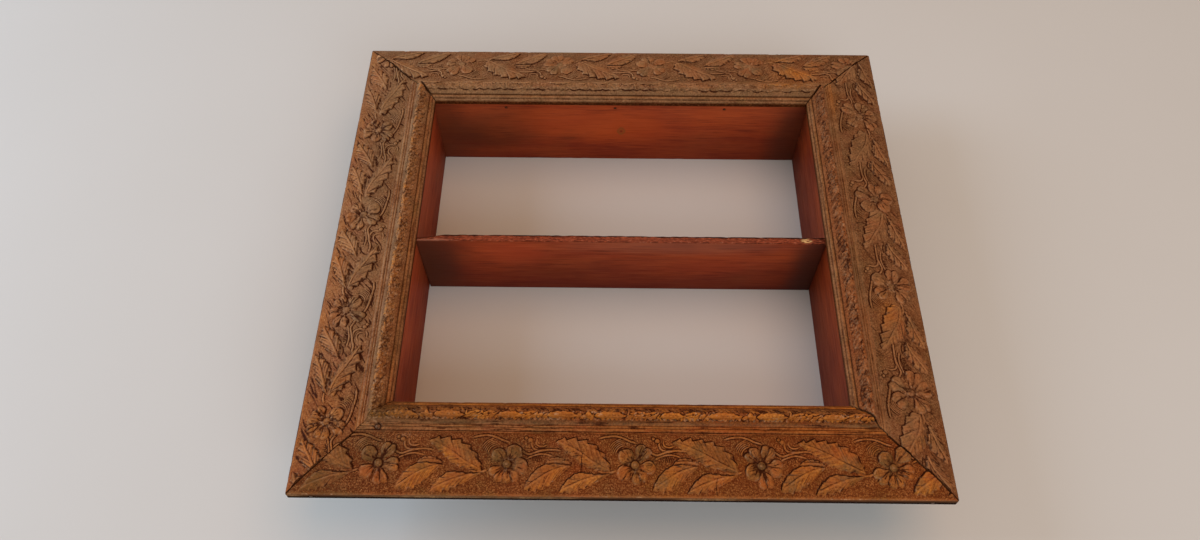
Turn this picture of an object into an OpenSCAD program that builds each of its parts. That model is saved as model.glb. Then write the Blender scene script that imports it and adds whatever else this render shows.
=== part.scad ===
// Wooden shadow box: a wide ornamental picture-frame moulding fixed to the
// front of a plain open-backed box with one shelf across the middle.
// It lies on its back: the back rim of the box is on z = 0, the frame's face
// looks up (+Z), the long side runs along X and the top rail is at +Y.

/* [Frame] */
// Overall width of the frame, along X
frame_w = 675; // [600:5:760]
// Overall height of the frame, along Y
frame_h = 615; // [560:5:720]
// Width of the moulding, outer edge to sight edge
moulding_w = 97; // [92:0.5:104]
// Thickness of the pressed floral strips at their ground
band_t = 1.4; // [1:0.1:1.8]
// Spacing of the flowers along the pressed strips
flower_step = 130; // [120:1:140]
// Height of the pressed leaves above the ground
leaf_h = 1.6; // [1:0.1:2.4]
// Opening of each mitre crack at the face
mitre_open = 1.1; // [0.4:0.1:1.6]

/* [Box] */
// Depth of the box boards, back rim to the frame's rebate
box_depth = 113; // [105:1:125]
// Thickness of the four box boards
board_t = 9; // [8:0.5:10]
// Distance that the box boards stand back behind the sight edge
reveal = 3.2; // [2.4:0.2:3.6]

/* [Shelf] */
// Thickness of the shelf
shelf_t = 8.8; // [8:0.2:10]
// Height of the shelf's lower face above the middle of the box
shelf_y = 1.2; // [-40:0.2:40]
// Distance of the shelf's front edge behind the front of the boards
shelf_back = 4.6; // [3:0.2:10]
// Gap left by the out-of-square cut at the shelf's left end
shelf_gap = 1.4; // [0.4:0.1:2]

/* [Nails] */
// Shank diameter of the mitre, corner and shelf nails
nail_d = 1.8; // [1.4:0.1:2]
// Head diameter of those nails
nail_head = 3.4; // [3:0.1:3.8]
// Shank diameter of the brads that hold the frame to the box
brad_d = 1.4; // [1.2:0.1:1.6]
// Head diameter of the face nail in the corner of the frame
face_head = 6; // [5:0.2:6.4]

/* [Hidden] */

$fn = 32;
k = moulding_w / 97;             // scale of the section across the moulding
zb = box_depth;                  // underside of the sight lip
back = zb - 13.2;                // back plane of the moulding
iw = frame_w - 2 * (moulding_w - reveal);   // clear width inside the box
ih = frame_h - 2 * (moulding_w - reveal);   // clear height inside the box
rebate_d = moulding_w - reveal - board_t - 0.3;
fit = 0.02;                      // nail holes are this much larger in radius
lean = atan(mitre_open / 2 / (zb + 7.2 - back));

wood = "#8a5326";
compo = "#9a5f2c";
bead = "#a5713d";
board = "#6f2a12";
shelf_c = "#7d3216";
iron = "#3f3c39";

// Points of the section are [distance from the outer edge, height above the lip's underside].
function place(p) = [for (q = p) [q[0] * k, q[1] + zb]];
// Ground of the wide band, outer edge to inner edge
ground = [[0, -1.6], [6, 0.5], [12, 2.4], [20, 4.5], [30, 6.1], [40, 7.3], [52, 8.2], [62.5, 9.1]];
// Two thin fillets and the cove that climbs to the bead
fillets = [[62.5, 9.5], [64.2, 9.1], [64.5, 10.7], [66.2, 11.5], [67.8, 11.3], [68.1, 10.4],
           [68.5, 11.8], [69.5, 12.3], [70.4, 12.1], [70.8, 11.4], [72.2, 12.2], [74, 14], [75.4, 16.6]];
// Face of the bead, and the wooden seat under it
bead_face = [[75.4, 17], [76.6, 18.8], [78.2, 22.2], [79.6, 23.6], [80.5, 24], [81.6, 23.7], [83.2, 22.2],
             [85, 20.2], [87, 17.8], [89, 15.5], [90.8, 13.4]];
bead_seat = [[75.4, 15.2], [77.2, 17.2], [79, 20.4], [80.4, 21.6], [82, 20.9], [84.4, 18.4], [88, 14.4], [90.8, 11.8]];
// Groove, gold fillet and sight edge
sight = [[91.2, 11.4], [91.5, 12], [93.2, 11.7], [94.3, 10.9], [94.6, 9.2], [95.2, 8.8], [96.4, 8.3], [97, 7.3]];

function low(p) = [for (q = p) [q[0], q[1] - band_t]];
function up(h) = [for (q = ground) [q[0], q[1] + h]];
function rev(p) = [for (i = [len(p) - 1 : -1 : 0]) p[i]];

core_section = concat([[0, back], [rebate_d, back], [rebate_d, zb], [moulding_w, zb]],
                      place(rev(sight)), place(rev(bead_seat)), place(rev(fillets)), place(rev(low(ground))));
band_section = concat(place(ground), place(rev(low(ground))));
bead_section = concat(place(bead_face), place(rev(bead_seat)));

// Distance from a member's left end, seen with its outer edge towards you, to its first whole flower
function phase(side) = side == "bottom" ? 91 : side == "left" ? 18 : side == "right" ? 111 : 36;

// Outline of a pointed leaf with saw teeth, from its base to its tip, w wide
module leaf(base, tip, w, teeth = 5) {
    a = atan2(tip[1] - base[1], tip[0] - base[0]);
    l = norm(tip - base);
    function half(t) = w / 2 * sin(180 * pow(t, 0.8));
    side = [for (i = [0 : teeth]) let (t = (i + 0.9) / (teeth + 2)) each
            [[l * t, half(t) * 1.08 + 0.3], [l * (t + 0.02), half(t) * 0.8]]];
    translate(base) rotate(a)
        polygon(concat([[0, 0]], side, [[l, 0]], [for (q = rev(side)) [q[0], -q[1]]]));
}
// One repeat of the pressed ornament, its flower centred 31 from the outer edge.
// Level 1 is the leaves and stem, level 2 the five petals, level 3 the button.
module motif(level) {
    if (level == 1) {
        leaf([95, 24], [42, 55], 22);
        leaf([56, 31], [22, 9], 14);
        leaf([95, 22], [55, 6], 13);
        leaf([60, 33], [38, 37], 6);
        polygon([[10, 36], [22, 42], [40, 45], [52, 44], [52, 46], [40, 47.4], [21, 44], [9, 38.6]]);
    }
    if (level == 2) translate([0, 31]) for (a = [130, 58, -12, -76, -138]) rotate(a) translate([14, 0]) circle(r = 7.2);
    if (level == 3) translate([0, 31]) circle(r = 4);
}

// One straight length of a section, laid along X with its outer edge at y = -off
// and both ends cut on the mitre. The cut leans back, so the joint touches at the
// back and stands open at the face.
module mitred(section, l, off, gap = 0, first = -1) {
    translate([0, -off, 0])
    difference() {
        union() {
            translate([-l / 2, 0, 0]) rotate([90, 0, 90]) linear_extrude(l) polygon(section);
            // the pressed relief: its outline, cut off parallel to the ground of the strip
            if (first >= 0) for (level = [1, 2, 3]) intersection() {
                translate([-l / 2, 0, back]) linear_extrude(60)
                    for (x = [first - flower_step : flower_step : l]) translate([x, 0]) scale(k) motif(level);
                translate([-l / 2, 0, 0]) rotate([90, 0, 90]) linear_extrude(l)
                    polygon(concat(place(up(leaf_h * (1 + 0.4 * level) - 0.6)), place(rev(low(ground)))));
            }
        }
        for (m = [0, 1]) mirror([m, 0, 0])
            translate([-l / 2, 0, back]) rotate([0, 0, 45]) rotate([lean, 0, 0])
                translate([-60, -gap, -60]) cube([320, 320, 320]);
    }
}
module on_side(side) {
    if (side == "bottom") children();
    if (side == "right") rotate([0, 0, 90]) children();
    if (side == "top") rotate([0, 0, 180]) children();
    if (side == "left") rotate([0, 0, 270]) children();
}
function run(side) = side == "top" || side == "bottom" ? frame_w : frame_h;
function out(side) = side == "top" || side == "bottom" ? frame_h / 2 : frame_w / 2;

// A nail with its head's top at the origin, pointing down. g makes it a hole.
module nail(l, d, hd, ht, g = 0) {
    cylinder(h = ht + 3 * g, r = hd / 2 + g, center = false);
    translate([0, 0, -l + d]) cylinder(h = l - d + 2 * g, r = d / 2 + g);
    translate([0, 0, -l - g]) cylinder(h = d + g, r1 = d / 8 + g, r2 = d / 2 + g);
}
module set_nail(l, d, hd, ht, g = 0) { translate([0, 0, -ht]) nail(l - ht, d, hd, ht, g); }

// Two nails cross each mitre: one through the rail's outer edge, one through the stile's.
module mitre_nail_set(g = 0) {
    for (sx = [0, 1]) for (sy = [0, 1]) mirror([sx, 0, 0]) mirror([0, sy, 0]) {
        translate([-frame_w / 2 + 24, -frame_h / 2, back + 3.6]) rotate([90, 0, 0]) set_nail(45, nail_d, nail_head, 1, g);
        translate([-frame_w / 2, -frame_h / 2 + 36, back + 7.2]) rotate([0, -90, 0]) set_nail(48, nail_d, nail_head, 1, g);
    }
}
// Round-headed nail driven through the fillets beside the near-left mitre
module face_nail_set(g = 0) {
    translate([-frame_w / 2 + 86.5 * k, -frame_h / 2 + 68 * k, zb + 11.6]) set_nail(22, 2.2, face_head, 1.2, g);
}
// Three nails through the top and bottom boards into each end of the side boards
module box_nail_set(g = 0) {
    for (sx = [-1, 1]) for (z = [18, 56, 94]) {
        translate([sx * (iw + board_t) / 2, -ih / 2 - board_t, z]) rotate([90, 0, 0]) set_nail(32, nail_d, nail_head, 1, g);
        translate([sx * (iw + board_t) / 2, ih / 2 + board_t, z]) rotate([-90, 0, 0]) set_nail(32, nail_d, nail_head, 1, g);
    }
}
// Three nails through each side board into the shelf's end
module shelf_nail_set(g = 0) {
    for (z = [20, 56, 92]) {
        translate([-iw / 2 - board_t, shelf_y + shelf_t / 2, z]) rotate([0, -90, 0]) set_nail(32, nail_d, nail_head, 1, g);
        translate([iw / 2 + board_t, shelf_y + shelf_t / 2, z]) rotate([0, 90, 0]) set_nail(32, nail_d, nail_head, 1, g);
    }
}
// Brads from inside the box, out through the boards into the frame's rebate
module brad_set(g = 0) {
    for (x = [-150, -7, 136]) {
        translate([x, ih / 2, zb - 9]) rotate([90, 0, 0]) set_nail(20, brad_d, 2.4, 0.8, g);
        translate([-x, -ih / 2, zb - 9]) rotate([-90, 0, 0]) set_nail(20, brad_d, 2.4, 0.8, g);
    }
    for (y = [-120, 110]) {
        translate([-iw / 2, y, zb - 9]) rotate([0, 90, 0]) set_nail(20, brad_d, 2.4, 0.8, g);
        translate([iw / 2, y, zb - 9]) rotate([0, -90, 0]) set_nail(20, brad_d, 2.4, 0.8, g);
    }
}

module core(side) {
    color(wood) difference() {
        on_side(side) mitred(core_section, run(side), out(side));
        mitre_nail_set(fit);
        brad_set(fit);
        if (side == "bottom") face_nail_set(fit);
    }
}
module band(side) { color(compo) on_side(side) mitred(band_section, run(side), out(side), 0.2, phase(side)); }
module bead_strip(side) { color(bead) on_side(side) mitred(bead_section, run(side), out(side), 0.2); }

module frame_rail_top() { core("top"); }
module frame_rail_bottom() { core("bottom"); }
module frame_stile_left() { core("left"); }
module frame_stile_right() { core("right"); }
module floral_band_top() { band("top"); }
module floral_band_bottom() { band("bottom"); }
module floral_band_left() { band("left"); }
module floral_band_right() { band("right"); }
module leaf_bead_top() { bead_strip("top"); }
module leaf_bead_bottom() { bead_strip("bottom"); }
module leaf_bead_left() { bead_strip("left"); }
module leaf_bead_right() { bead_strip("right"); }

module cross_board(s) {
    color(board) difference() {
        translate([-iw / 2 - board_t, s > 0 ? ih / 2 : -ih / 2 - board_t, 0]) cube([iw + 2 * board_t, board_t, box_depth]);
        box_nail_set(fit);
        brad_set(fit);
    }
}
module side_board(s) {
    color(board) difference() {
        translate([s > 0 ? iw / 2 : -iw / 2 - board_t, -ih / 2, 0]) cube([board_t, ih, box_depth]);
        box_nail_set(fit);
        shelf_nail_set(fit);
        brad_set(fit);
    }
}
module box_board_top() { cross_board(1); }
module box_board_bottom() { cross_board(-1); }
module box_board_left() { side_board(-1); }
module box_board_right() { side_board(1); }

module shelf() {
    d = box_depth - shelf_back;
    color(shelf_c) difference() {
        translate([0, shelf_y + shelf_t, 0]) rotate([90, 0, 0]) linear_extrude(shelf_t)
            polygon([[-iw / 2 + shelf_gap, 0], [iw / 2, 0], [iw / 2, d], [-iw / 2, d], [-iw / 2, d * 0.75]]);
        shelf_nail_set(fit);
    }
}

module mitre_nails() { color(iron) mitre_nail_set(); }
module corner_face_nail() { color(iron) face_nail_set(); }
module box_corner_nails() { color(iron) box_nail_set(); }
module shelf_nails() { color(iron) shelf_nail_set(); }
module frame_fixing_brads() { color(iron) brad_set(); }

frame_rail_top();
frame_rail_bottom();
frame_stile_left();
frame_stile_right();
floral_band_top();
floral_band_bottom();
floral_band_left();
floral_band_right();
leaf_bead_top();
leaf_bead_bottom();
leaf_bead_left();
leaf_bead_right();
box_board_top();
box_board_bottom();
box_board_left();
box_board_right();
shelf();
mitre_nails();
corner_face_nail();
box_corner_nails();
shelf_nails();
frame_fixing_brads();
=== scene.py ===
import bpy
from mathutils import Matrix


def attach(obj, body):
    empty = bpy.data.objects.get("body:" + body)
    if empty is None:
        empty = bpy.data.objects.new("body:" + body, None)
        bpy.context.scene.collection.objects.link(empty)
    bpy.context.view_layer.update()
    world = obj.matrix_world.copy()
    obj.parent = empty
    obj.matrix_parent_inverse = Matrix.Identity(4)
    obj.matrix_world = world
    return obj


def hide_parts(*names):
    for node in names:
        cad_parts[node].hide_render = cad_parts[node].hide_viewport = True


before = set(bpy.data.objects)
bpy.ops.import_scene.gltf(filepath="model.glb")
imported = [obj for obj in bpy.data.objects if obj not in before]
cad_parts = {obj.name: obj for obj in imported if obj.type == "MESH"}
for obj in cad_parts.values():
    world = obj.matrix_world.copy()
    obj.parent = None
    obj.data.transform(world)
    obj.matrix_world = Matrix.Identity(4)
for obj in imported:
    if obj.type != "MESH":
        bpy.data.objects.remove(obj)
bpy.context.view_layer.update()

import math
import bpy
import numpy as np
from mathutils import Matrix

# ---------------------------------------------------------------- camera
cam = bpy.data.cameras.new("Camera")
cam.lens = 27.0
cam.sensor_width = 36.0
cam.sensor_fit = "HORIZONTAL"
cam.clip_start = 0.01
cam_ob = bpy.data.objects.new("Camera", cam)
bpy.context.scene.collection.objects.link(cam_ob)
R0 = (0.99994906, 0.00963369, 0.00301103)
R1 = (0.00977639, -0.85028605, -0.52623004)
R2 = (-0.00250930, 0.52623267, -0.85033692)
cam_ob.matrix_world = Matrix((
    (R0[0], -R1[0], -R2[0], -0.021772),
    (R0[1], -R1[1], -R2[1], -0.587906),
    (R0[2], -R1[2], -R2[2], 0.996499),
    (0, 0, 0, 1)))
bpy.context.scene.camera = cam_ob
bpy.context.scene.view_settings.view_transform = "Standard"

# ---------------------------------------------------------------- sizes, in mm
W, H = 675.0, 615.0
BACK, ZB = 99.8, 113.0
LEAN = 0.55 / 20.4
IW, IH = 487.4, 427.4
BT = 9.0
GROUND = np.array([[0, -1.6], [6, 0.5], [12, 2.4], [20, 4.5], [30, 6.1], [40, 7.3], [52, 8.2], [62.5, 9.1]])
FILLETS = np.array([[62.5, 9.5], [64.2, 9.1], [64.5, 10.7], [66.2, 11.5], [67.8, 11.3], [68.1, 10.4],
                    [68.5, 11.8], [69.5, 12.3], [70.4, 12.1], [70.8, 11.4], [72.2, 12.2], [74, 14], [75.4, 16.6]])
BEAD = np.array([[75.4, 17], [76.6, 18.8], [78.2, 22.2], [79.6, 23.6], [80.5, 24], [81.6, 23.7], [83.2, 22.2],
                 [85, 20.2], [87, 17.8], [89, 15.5], [90.8, 13.4]])
SEAT = np.array([[75.4, 15.2], [77.2, 17.2], [79, 20.4], [80.4, 21.6], [82, 20.9], [84.4, 18.4], [88, 14.4], [90.8, 11.8]])
SIGHT = np.array([[91.2, 11.4], [91.5, 12], [93.2, 11.7], [94.3, 10.9], [94.6, 9.2], [95.2, 8.8], [96.4, 8.3], [97, 7.3]])
RUN = {"bottom": W, "top": W, "left": H, "right": H}
SEED = {"bottom": 11, "right": 23, "top": 37, "left": 51}


def to_world(side, u, d, z):
    if side == "bottom":
        return -W / 2 + u, -H / 2 + d, z
    if side == "top":
        return W / 2 - u, H / 2 - d, z
    if side == "right":
        return W / 2 - d, -H / 2 + u, z
    return -W / 2 + d, H / 2 - u, z


# ---------------------------------------------------------------- small numeric tools
def smooth(x, a, b):
    t = np.clip((x - a) / (b - a), 0.0, 1.0)
    return t * t * (3 - 2 * t)


def noise(x, y, size, seed, octaves=1):
    """Smooth value noise, -1 to 1, with cells of this size in mm."""
    total, amp, norm = 0.0, 1.0, 0.0
    for o in range(octaves):
        g = np.random.default_rng(seed * 97 + o * 13 + 5).uniform(-1, 1, (128, 128))
        px, py = x / size, y / size
        ix, iy = np.floor(px).astype(int), np.floor(py).astype(int)
        fx, fy = px - ix, py - iy
        fx, fy = fx * fx * (3 - 2 * fx), fy * fy * (3 - 2 * fy)
        a, b = g[ix % 128, iy % 128], g[(ix + 1) % 128, iy % 128]
        c, e = g[ix % 128, (iy + 1) % 128], g[(ix + 1) % 128, (iy + 1) % 128]
        total = total + amp * ((a * (1 - fx) + b * fx) * (1 - fy) + (c * (1 - fx) + e * fx) * fy)
        norm += amp
        amp *= 0.55
        size *= 0.5
    return total / norm


def blur(a, sigma):
    """Gaussian blur of a grid; sigma is (rows, columns) in samples."""
    for ax, s in enumerate(sigma):
        r = max(1, int(round(s * 2.5)))
        k = np.exp(-0.5 * (np.arange(-r, r + 1) / s) ** 2)
        k /= k.sum()
        pad = [(0, 0), (0, 0)]
        pad[ax] = (r, r)
        p = np.pad(a, pad, mode="edge")
        out = np.zeros_like(a)
        for i, w in enumerate(k):
            sl = [slice(None), slice(None)]
            sl[ax] = slice(i, i + a.shape[ax])
            out += w * p[tuple(sl)]
        a = out
    return a


def curve(points, step=1.0):
    """Catmull-Rom curve through the points, sampled about every step mm."""
    p = np.asarray(points, float)
    p = np.vstack([2 * p[0] - p[1], p, 2 * p[-1] - p[-2]])
    out = []
    for i in range(1, len(p) - 2):
        n = max(2, int(np.ceil(np.linalg.norm(p[i + 1] - p[i]) / step)))
        t = np.linspace(0, 1, n, endpoint=False)[:, None]
        out.append(0.5 * (2 * p[i] + (p[i + 1] - p[i - 1]) * t + (2 * p[i - 1] - 5 * p[i] + 4 * p[i + 1] - p[i + 2]) * t ** 2
                          + (3 * p[i] - p[i - 1] - 3 * p[i + 1] + p[i + 2]) * t ** 3))
    return np.vstack(out + [p[-2][None]])


def soften(p, times):
    """Cuts the corners of an open line, ends kept."""
    for _ in range(times):
        q = 0.75 * p[:-1] + 0.25 * p[1:]
        r = 0.25 * p[:-1] + 0.75 * p[1:]
        p = np.vstack([p[:1], np.stack([q, r], 1).reshape(-1, 2)[1:-1], p[-1:]])
    return p


def inside_distance(poly, x, y):
    """Distance to the outline, positive inside."""
    best = np.full(x.shape, 1e9)
    ins = np.zeros(x.shape, bool)
    for (ax, ay), (bx, by) in zip(poly, np.roll(poly, -1, 0)):
        ex, ey = bx - ax, by - ay
        t = np.clip(((x - ax) * ex + (y - ay) * ey) / (ex * ex + ey * ey + 1e-12), 0, 1)
        best = np.minimum(best, (x - ax - t * ex) ** 2 + (y - ay - t * ey) ** 2)
        if ay != by:
            ins ^= ((ay > y) != (by > y)) & (x < ex * (y - ay) / (by - ay) + ax)
    return np.sqrt(best) * np.where(ins, 1, -1)


def line_distance(line, x, y):
    """Distance to an open line, place along it, and the line's length."""
    best, place, run = np.full(x.shape, 1e9), np.zeros(x.shape), 0.0
    for (ax, ay), (bx, by) in zip(line[:-1], line[1:]):
        ex, ey = bx - ax, by - ay
        ln = math.hypot(ex, ey) + 1e-9
        t = np.clip(((x - ax) * ex + (y - ay) * ey) / (ln * ln), 0, 1)
        q = (x - ax - t * ex) ** 2 + (y - ay - t * ey) ** 2
        m = q < best
        best = np.where(m, q, best)
        place = np.where(m, run + t * ln, place)
        run += ln
    return np.sqrt(best), place, run


def toothed(points, period, depth, start, stop, phase=0.0, out=1):
    """A curve from a leaf's tip to its base with forward-pointing teeth on its outer side."""
    c = curve(points, 0.6)
    seg = np.linalg.norm(np.diff(c, axis=0), axis=1)
    s = np.concatenate([[0], np.cumsum(seg)])
    f = ((s / period + phase) % 1.0)
    amp = depth * smooth(s, start, start + period * 0.6) * (1 - smooth(s, stop * s[-1], stop * s[-1] + period * 0.7))
    t = np.gradient(c, axis=0)
    n = np.stack([-t[:, 1], t[:, 0]], 1) / (np.linalg.norm(t, axis=1)[:, None] + 1e-9) * out
    rise = np.where(f < 0.14, f / 0.14, 1 - ((f - 0.14) / 0.86) ** 1.25) - 0.45
    line = c + n * (amp * rise)[:, None]
    notch = [line[i] for i in range(1, len(f)) if f[i] < f[i - 1] and amp[i] > 0.45 * depth]
    return line, notch


def grains(x, y, size, seed):
    """Distances to the nearest and second nearest of jittered points, in units of size."""
    rng = np.random.default_rng(seed)
    jx, jy = rng.uniform(0.12, 0.88, (97, 97)), rng.uniform(0.12, 0.88, (97, 97))
    ix, iy = np.floor(x / size).astype(int), np.floor(y / size).astype(int)
    f1, f2 = np.full(x.shape, 9.0), np.full(x.shape, 9.0)
    for a in (-1, 0, 1):
        for b in (-1, 0, 1):
            cx, cy = ix + a, iy + b
            q = np.hypot(cx + jx[cx % 97, cy % 97] - x / size, cy + jy[cx % 97, cy % 97] - y / size)
            f2 = np.minimum(f2, np.maximum(f1, q))
            f1 = np.minimum(f1, q)
    return f1, f2


def lobes(x, y, size, seed, lean):
    """Small overlapping lobes: their height, lit rims and dark rims. lean is the lit direction."""
    f1, f2 = grains(x + 0.22 * size * noise(x, y, size * 1.3, seed + 1), y + 0.22 * size * noise(x, y, size * 1.3, seed + 2), size, seed)
    gx = np.gradient(f1, axis=1) / (np.gradient(x, axis=1) + 1e-9)
    gy = np.gradient(f1, axis=0) / (np.gradient(y, axis=0) + 1e-9)
    turn = (gx * lean[0] + gy * lean[1]) * size
    ring = np.exp(-((f1 - 0.36) / 0.15) ** 2)
    gap = 1 - smooth(f2 - f1, 0.05, 0.34)
    return np.sqrt(np.clip(1 - (f1 / 0.62) ** 2, 0, 1)), ring * smooth(turn, 0.1, 0.8), np.maximum(ring * smooth(-turn, 0.1, 0.8), 0.7 * gap)


# ---------------------------------------------------------------- pressed relief
class Relief:
    """Heights, dirt, painted shade and painted highlights of a pressed strip over a grid of (u, across) points in mm.
    """

    def __init__(self, x, y, seed):
        self.x, self.y, self.seed = x, y, seed
        self.turn, self.rims, self.edge, self.flame = 0.0, 0.4, 1.0, 0.0
        self.h = np.zeros(x.shape)
        self.cut = np.zeros(x.shape)
        self.on = np.zeros(x.shape)
        self.dirt_and_shade = np.zeros(x.shape)
        self.tone = np.zeros(x.shape)
        self.pale = np.zeros(x.shape)
        self.bright = np.zeros(x.shape)
        self.soil = np.zeros(x.shape)
        self.hue = np.zeros(x.shape)

    def part(self, x0, x1, y0, y1):
        rows = np.where((self.y.max(1) >= y0) & (self.y.min(1) <= y1))[0]
        cols = np.where((self.x.max(0) >= x0) & (self.x.min(0) <= x1))[0]
        if len(rows) < 2 or len(cols) < 2:
            return None
        return slice(rows[0], rows[-1] + 1), slice(cols[0], cols[-1] + 1)

    def raise_part(self, w, sd, body, groove, upper, lower, tone, width, rise):
        """Raises the part of the grid where sd, the distance inside an outline, is positive."""
        x, y = self.x[w], self.y[w]
        gy = np.gradient(sd, axis=0) / (np.gradient(y, axis=0) + 1e-9)
        gx = np.gradient(sd, axis=1) / (np.gradient(x, axis=1) + 1e-9)
        # the dark line round each outline is stronger on the side turned from the light, towards the sight edge and
        # turned by self.turn: painted shadow, with some dirt in the groove
        face = smooth(-gy * (1 - 0.25 * self.turn) - gx * self.turn, 0.12 * self.turn, 0.65 + 0.1 * self.turn)
        side = lower + (upper - lower) * face
        side = side * np.clip(0.66 + 0.75 * noise(x, y, 6.0, self.seed + 61, 2), 0, 1.1)
        step = smooth(sd, -0.15, rise + 0.5 * self.turn + 1.7 * (1 - face))
        self.h[w] = np.where(step > 0, np.maximum(self.h[w] * (1 - step * 0.85), body * step), self.h[w])
        line = np.exp(-((sd + 0.35) / (0.52 * width)) ** 2) * side
        self.cut[w] = np.maximum(self.cut[w] * (1 - smooth(sd, 0, 0.8)), line * groove)
        self.dirt_and_shade[w] = np.maximum(self.dirt_and_shade[w] * (1 - smooth(sd, 0.2, 1.4)), line)
        self.on[w] = np.maximum(self.on[w], smooth(sd, -0.3, 0.5))
        # a pale rim just inside the outline: partly worn gilt, partly painted highlight
        self.pale[w] = np.maximum(self.pale[w] * (1 - smooth(sd, -0.2, 0.6)), np.exp(-((sd - 0.7) / 0.55) ** 2) * smooth(noise(x, y, 4.0, self.seed + 62, 2), 0.15, 0.6) * 0.7)
        self.tone[w] = np.where(sd > 0, tone, self.tone[w])

    def shape(self, poly, height, pad=2.6, groove=0.5, upper=1.0, lower=0.35, tone=0.0, width=1.1, rise=0.9):
        """Raises what is inside the outline; height(sd, x, y) is its own height there."""
        lo, hi = poly.min(0) - pad, poly.max(0) + pad
        w = self.part(lo[0], hi[0], lo[1], hi[1])
        if w is None:
            return
        x, y = self.x[w], self.y[w]
        sd = inside_distance(poly, x, y)
        self.raise_part(w, sd, height(np.maximum(sd, 0), x, y), groove, upper, lower, tone, width, rise)

    def strand(self, line, r, height, dirt_and_shade=0.7, fade=True):
        """A round stem along the line."""
        line = np.asarray(line, float)
        w = self.part(line[:, 0].min() - 3, line[:, 0].max() + 3, line[:, 1].min() - 3, line[:, 1].max() + 3)
        if w is None:
            return
        x, y = self.x[w], self.y[w]
        dist, place, total = line_distance(line, x, y)
        ends = smooth(place, -0.01, 4) * (1 - smooth(place, total - 3, total + 0.01)) if fade else 1.0
        ends = 0.35 + 0.65 * ends
        rr = r * ends
        body = height * ends * np.sqrt(np.clip(1 - (dist / (rr * 1.25)) ** 2, 0, 1))
        self.h[w] = np.maximum(self.h[w], body)
        edge = np.exp(-((dist - rr - 0.55) / 0.5) ** 2) * ends
        edge = edge * np.where(self.on[w] > 0.6, 0.4, 1.0)
        self.cut[w] = np.maximum(self.cut[w], edge * 0.25 * dirt_and_shade)
        self.dirt_and_shade[w] = np.maximum(self.dirt_and_shade[w], edge * dirt_and_shade)
        self.on[w] = np.maximum(self.on[w], 1 - smooth(dist, rr * 0.8, rr * 1.3))
        # a pale line along the stem's crest: partly worn gilt, partly painted highlight
        self.pale[w] = np.maximum(self.pale[w] * smooth(dist, rr * 0.7, rr * 1.2), 0.6 * ends * np.exp(-(dist / (0.6 * rr)) ** 2) * smooth(noise(x, y, 7.0, self.seed + 63, 2), -0.2, 0.5))

    def scratch(self, line, width, depth, dirt_and_shade=1.0, only_ground=True):
        """An engraved line."""
        line = np.asarray(line, float)
        w = self.part(line[:, 0].min() - 2, line[:, 0].max() + 2, line[:, 1].min() - 2, line[:, 1].max() + 2)
        if w is None:
            return
        dist, place, total = line_distance(line, self.x[w], self.y[w])
        k = np.exp(-(dist / width) ** 2) * smooth(place, -0.01, 1.5) * (1 - smooth(place, total - 1.5, total + 0.01))
        if only_ground:
            k = k * (1 - self.on[w])
        self.cut[w] = np.maximum(self.cut[w], k * depth)
        self.dirt_and_shade[w] = np.maximum(self.dirt_and_shade[w], k * dirt_and_shade)


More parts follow.
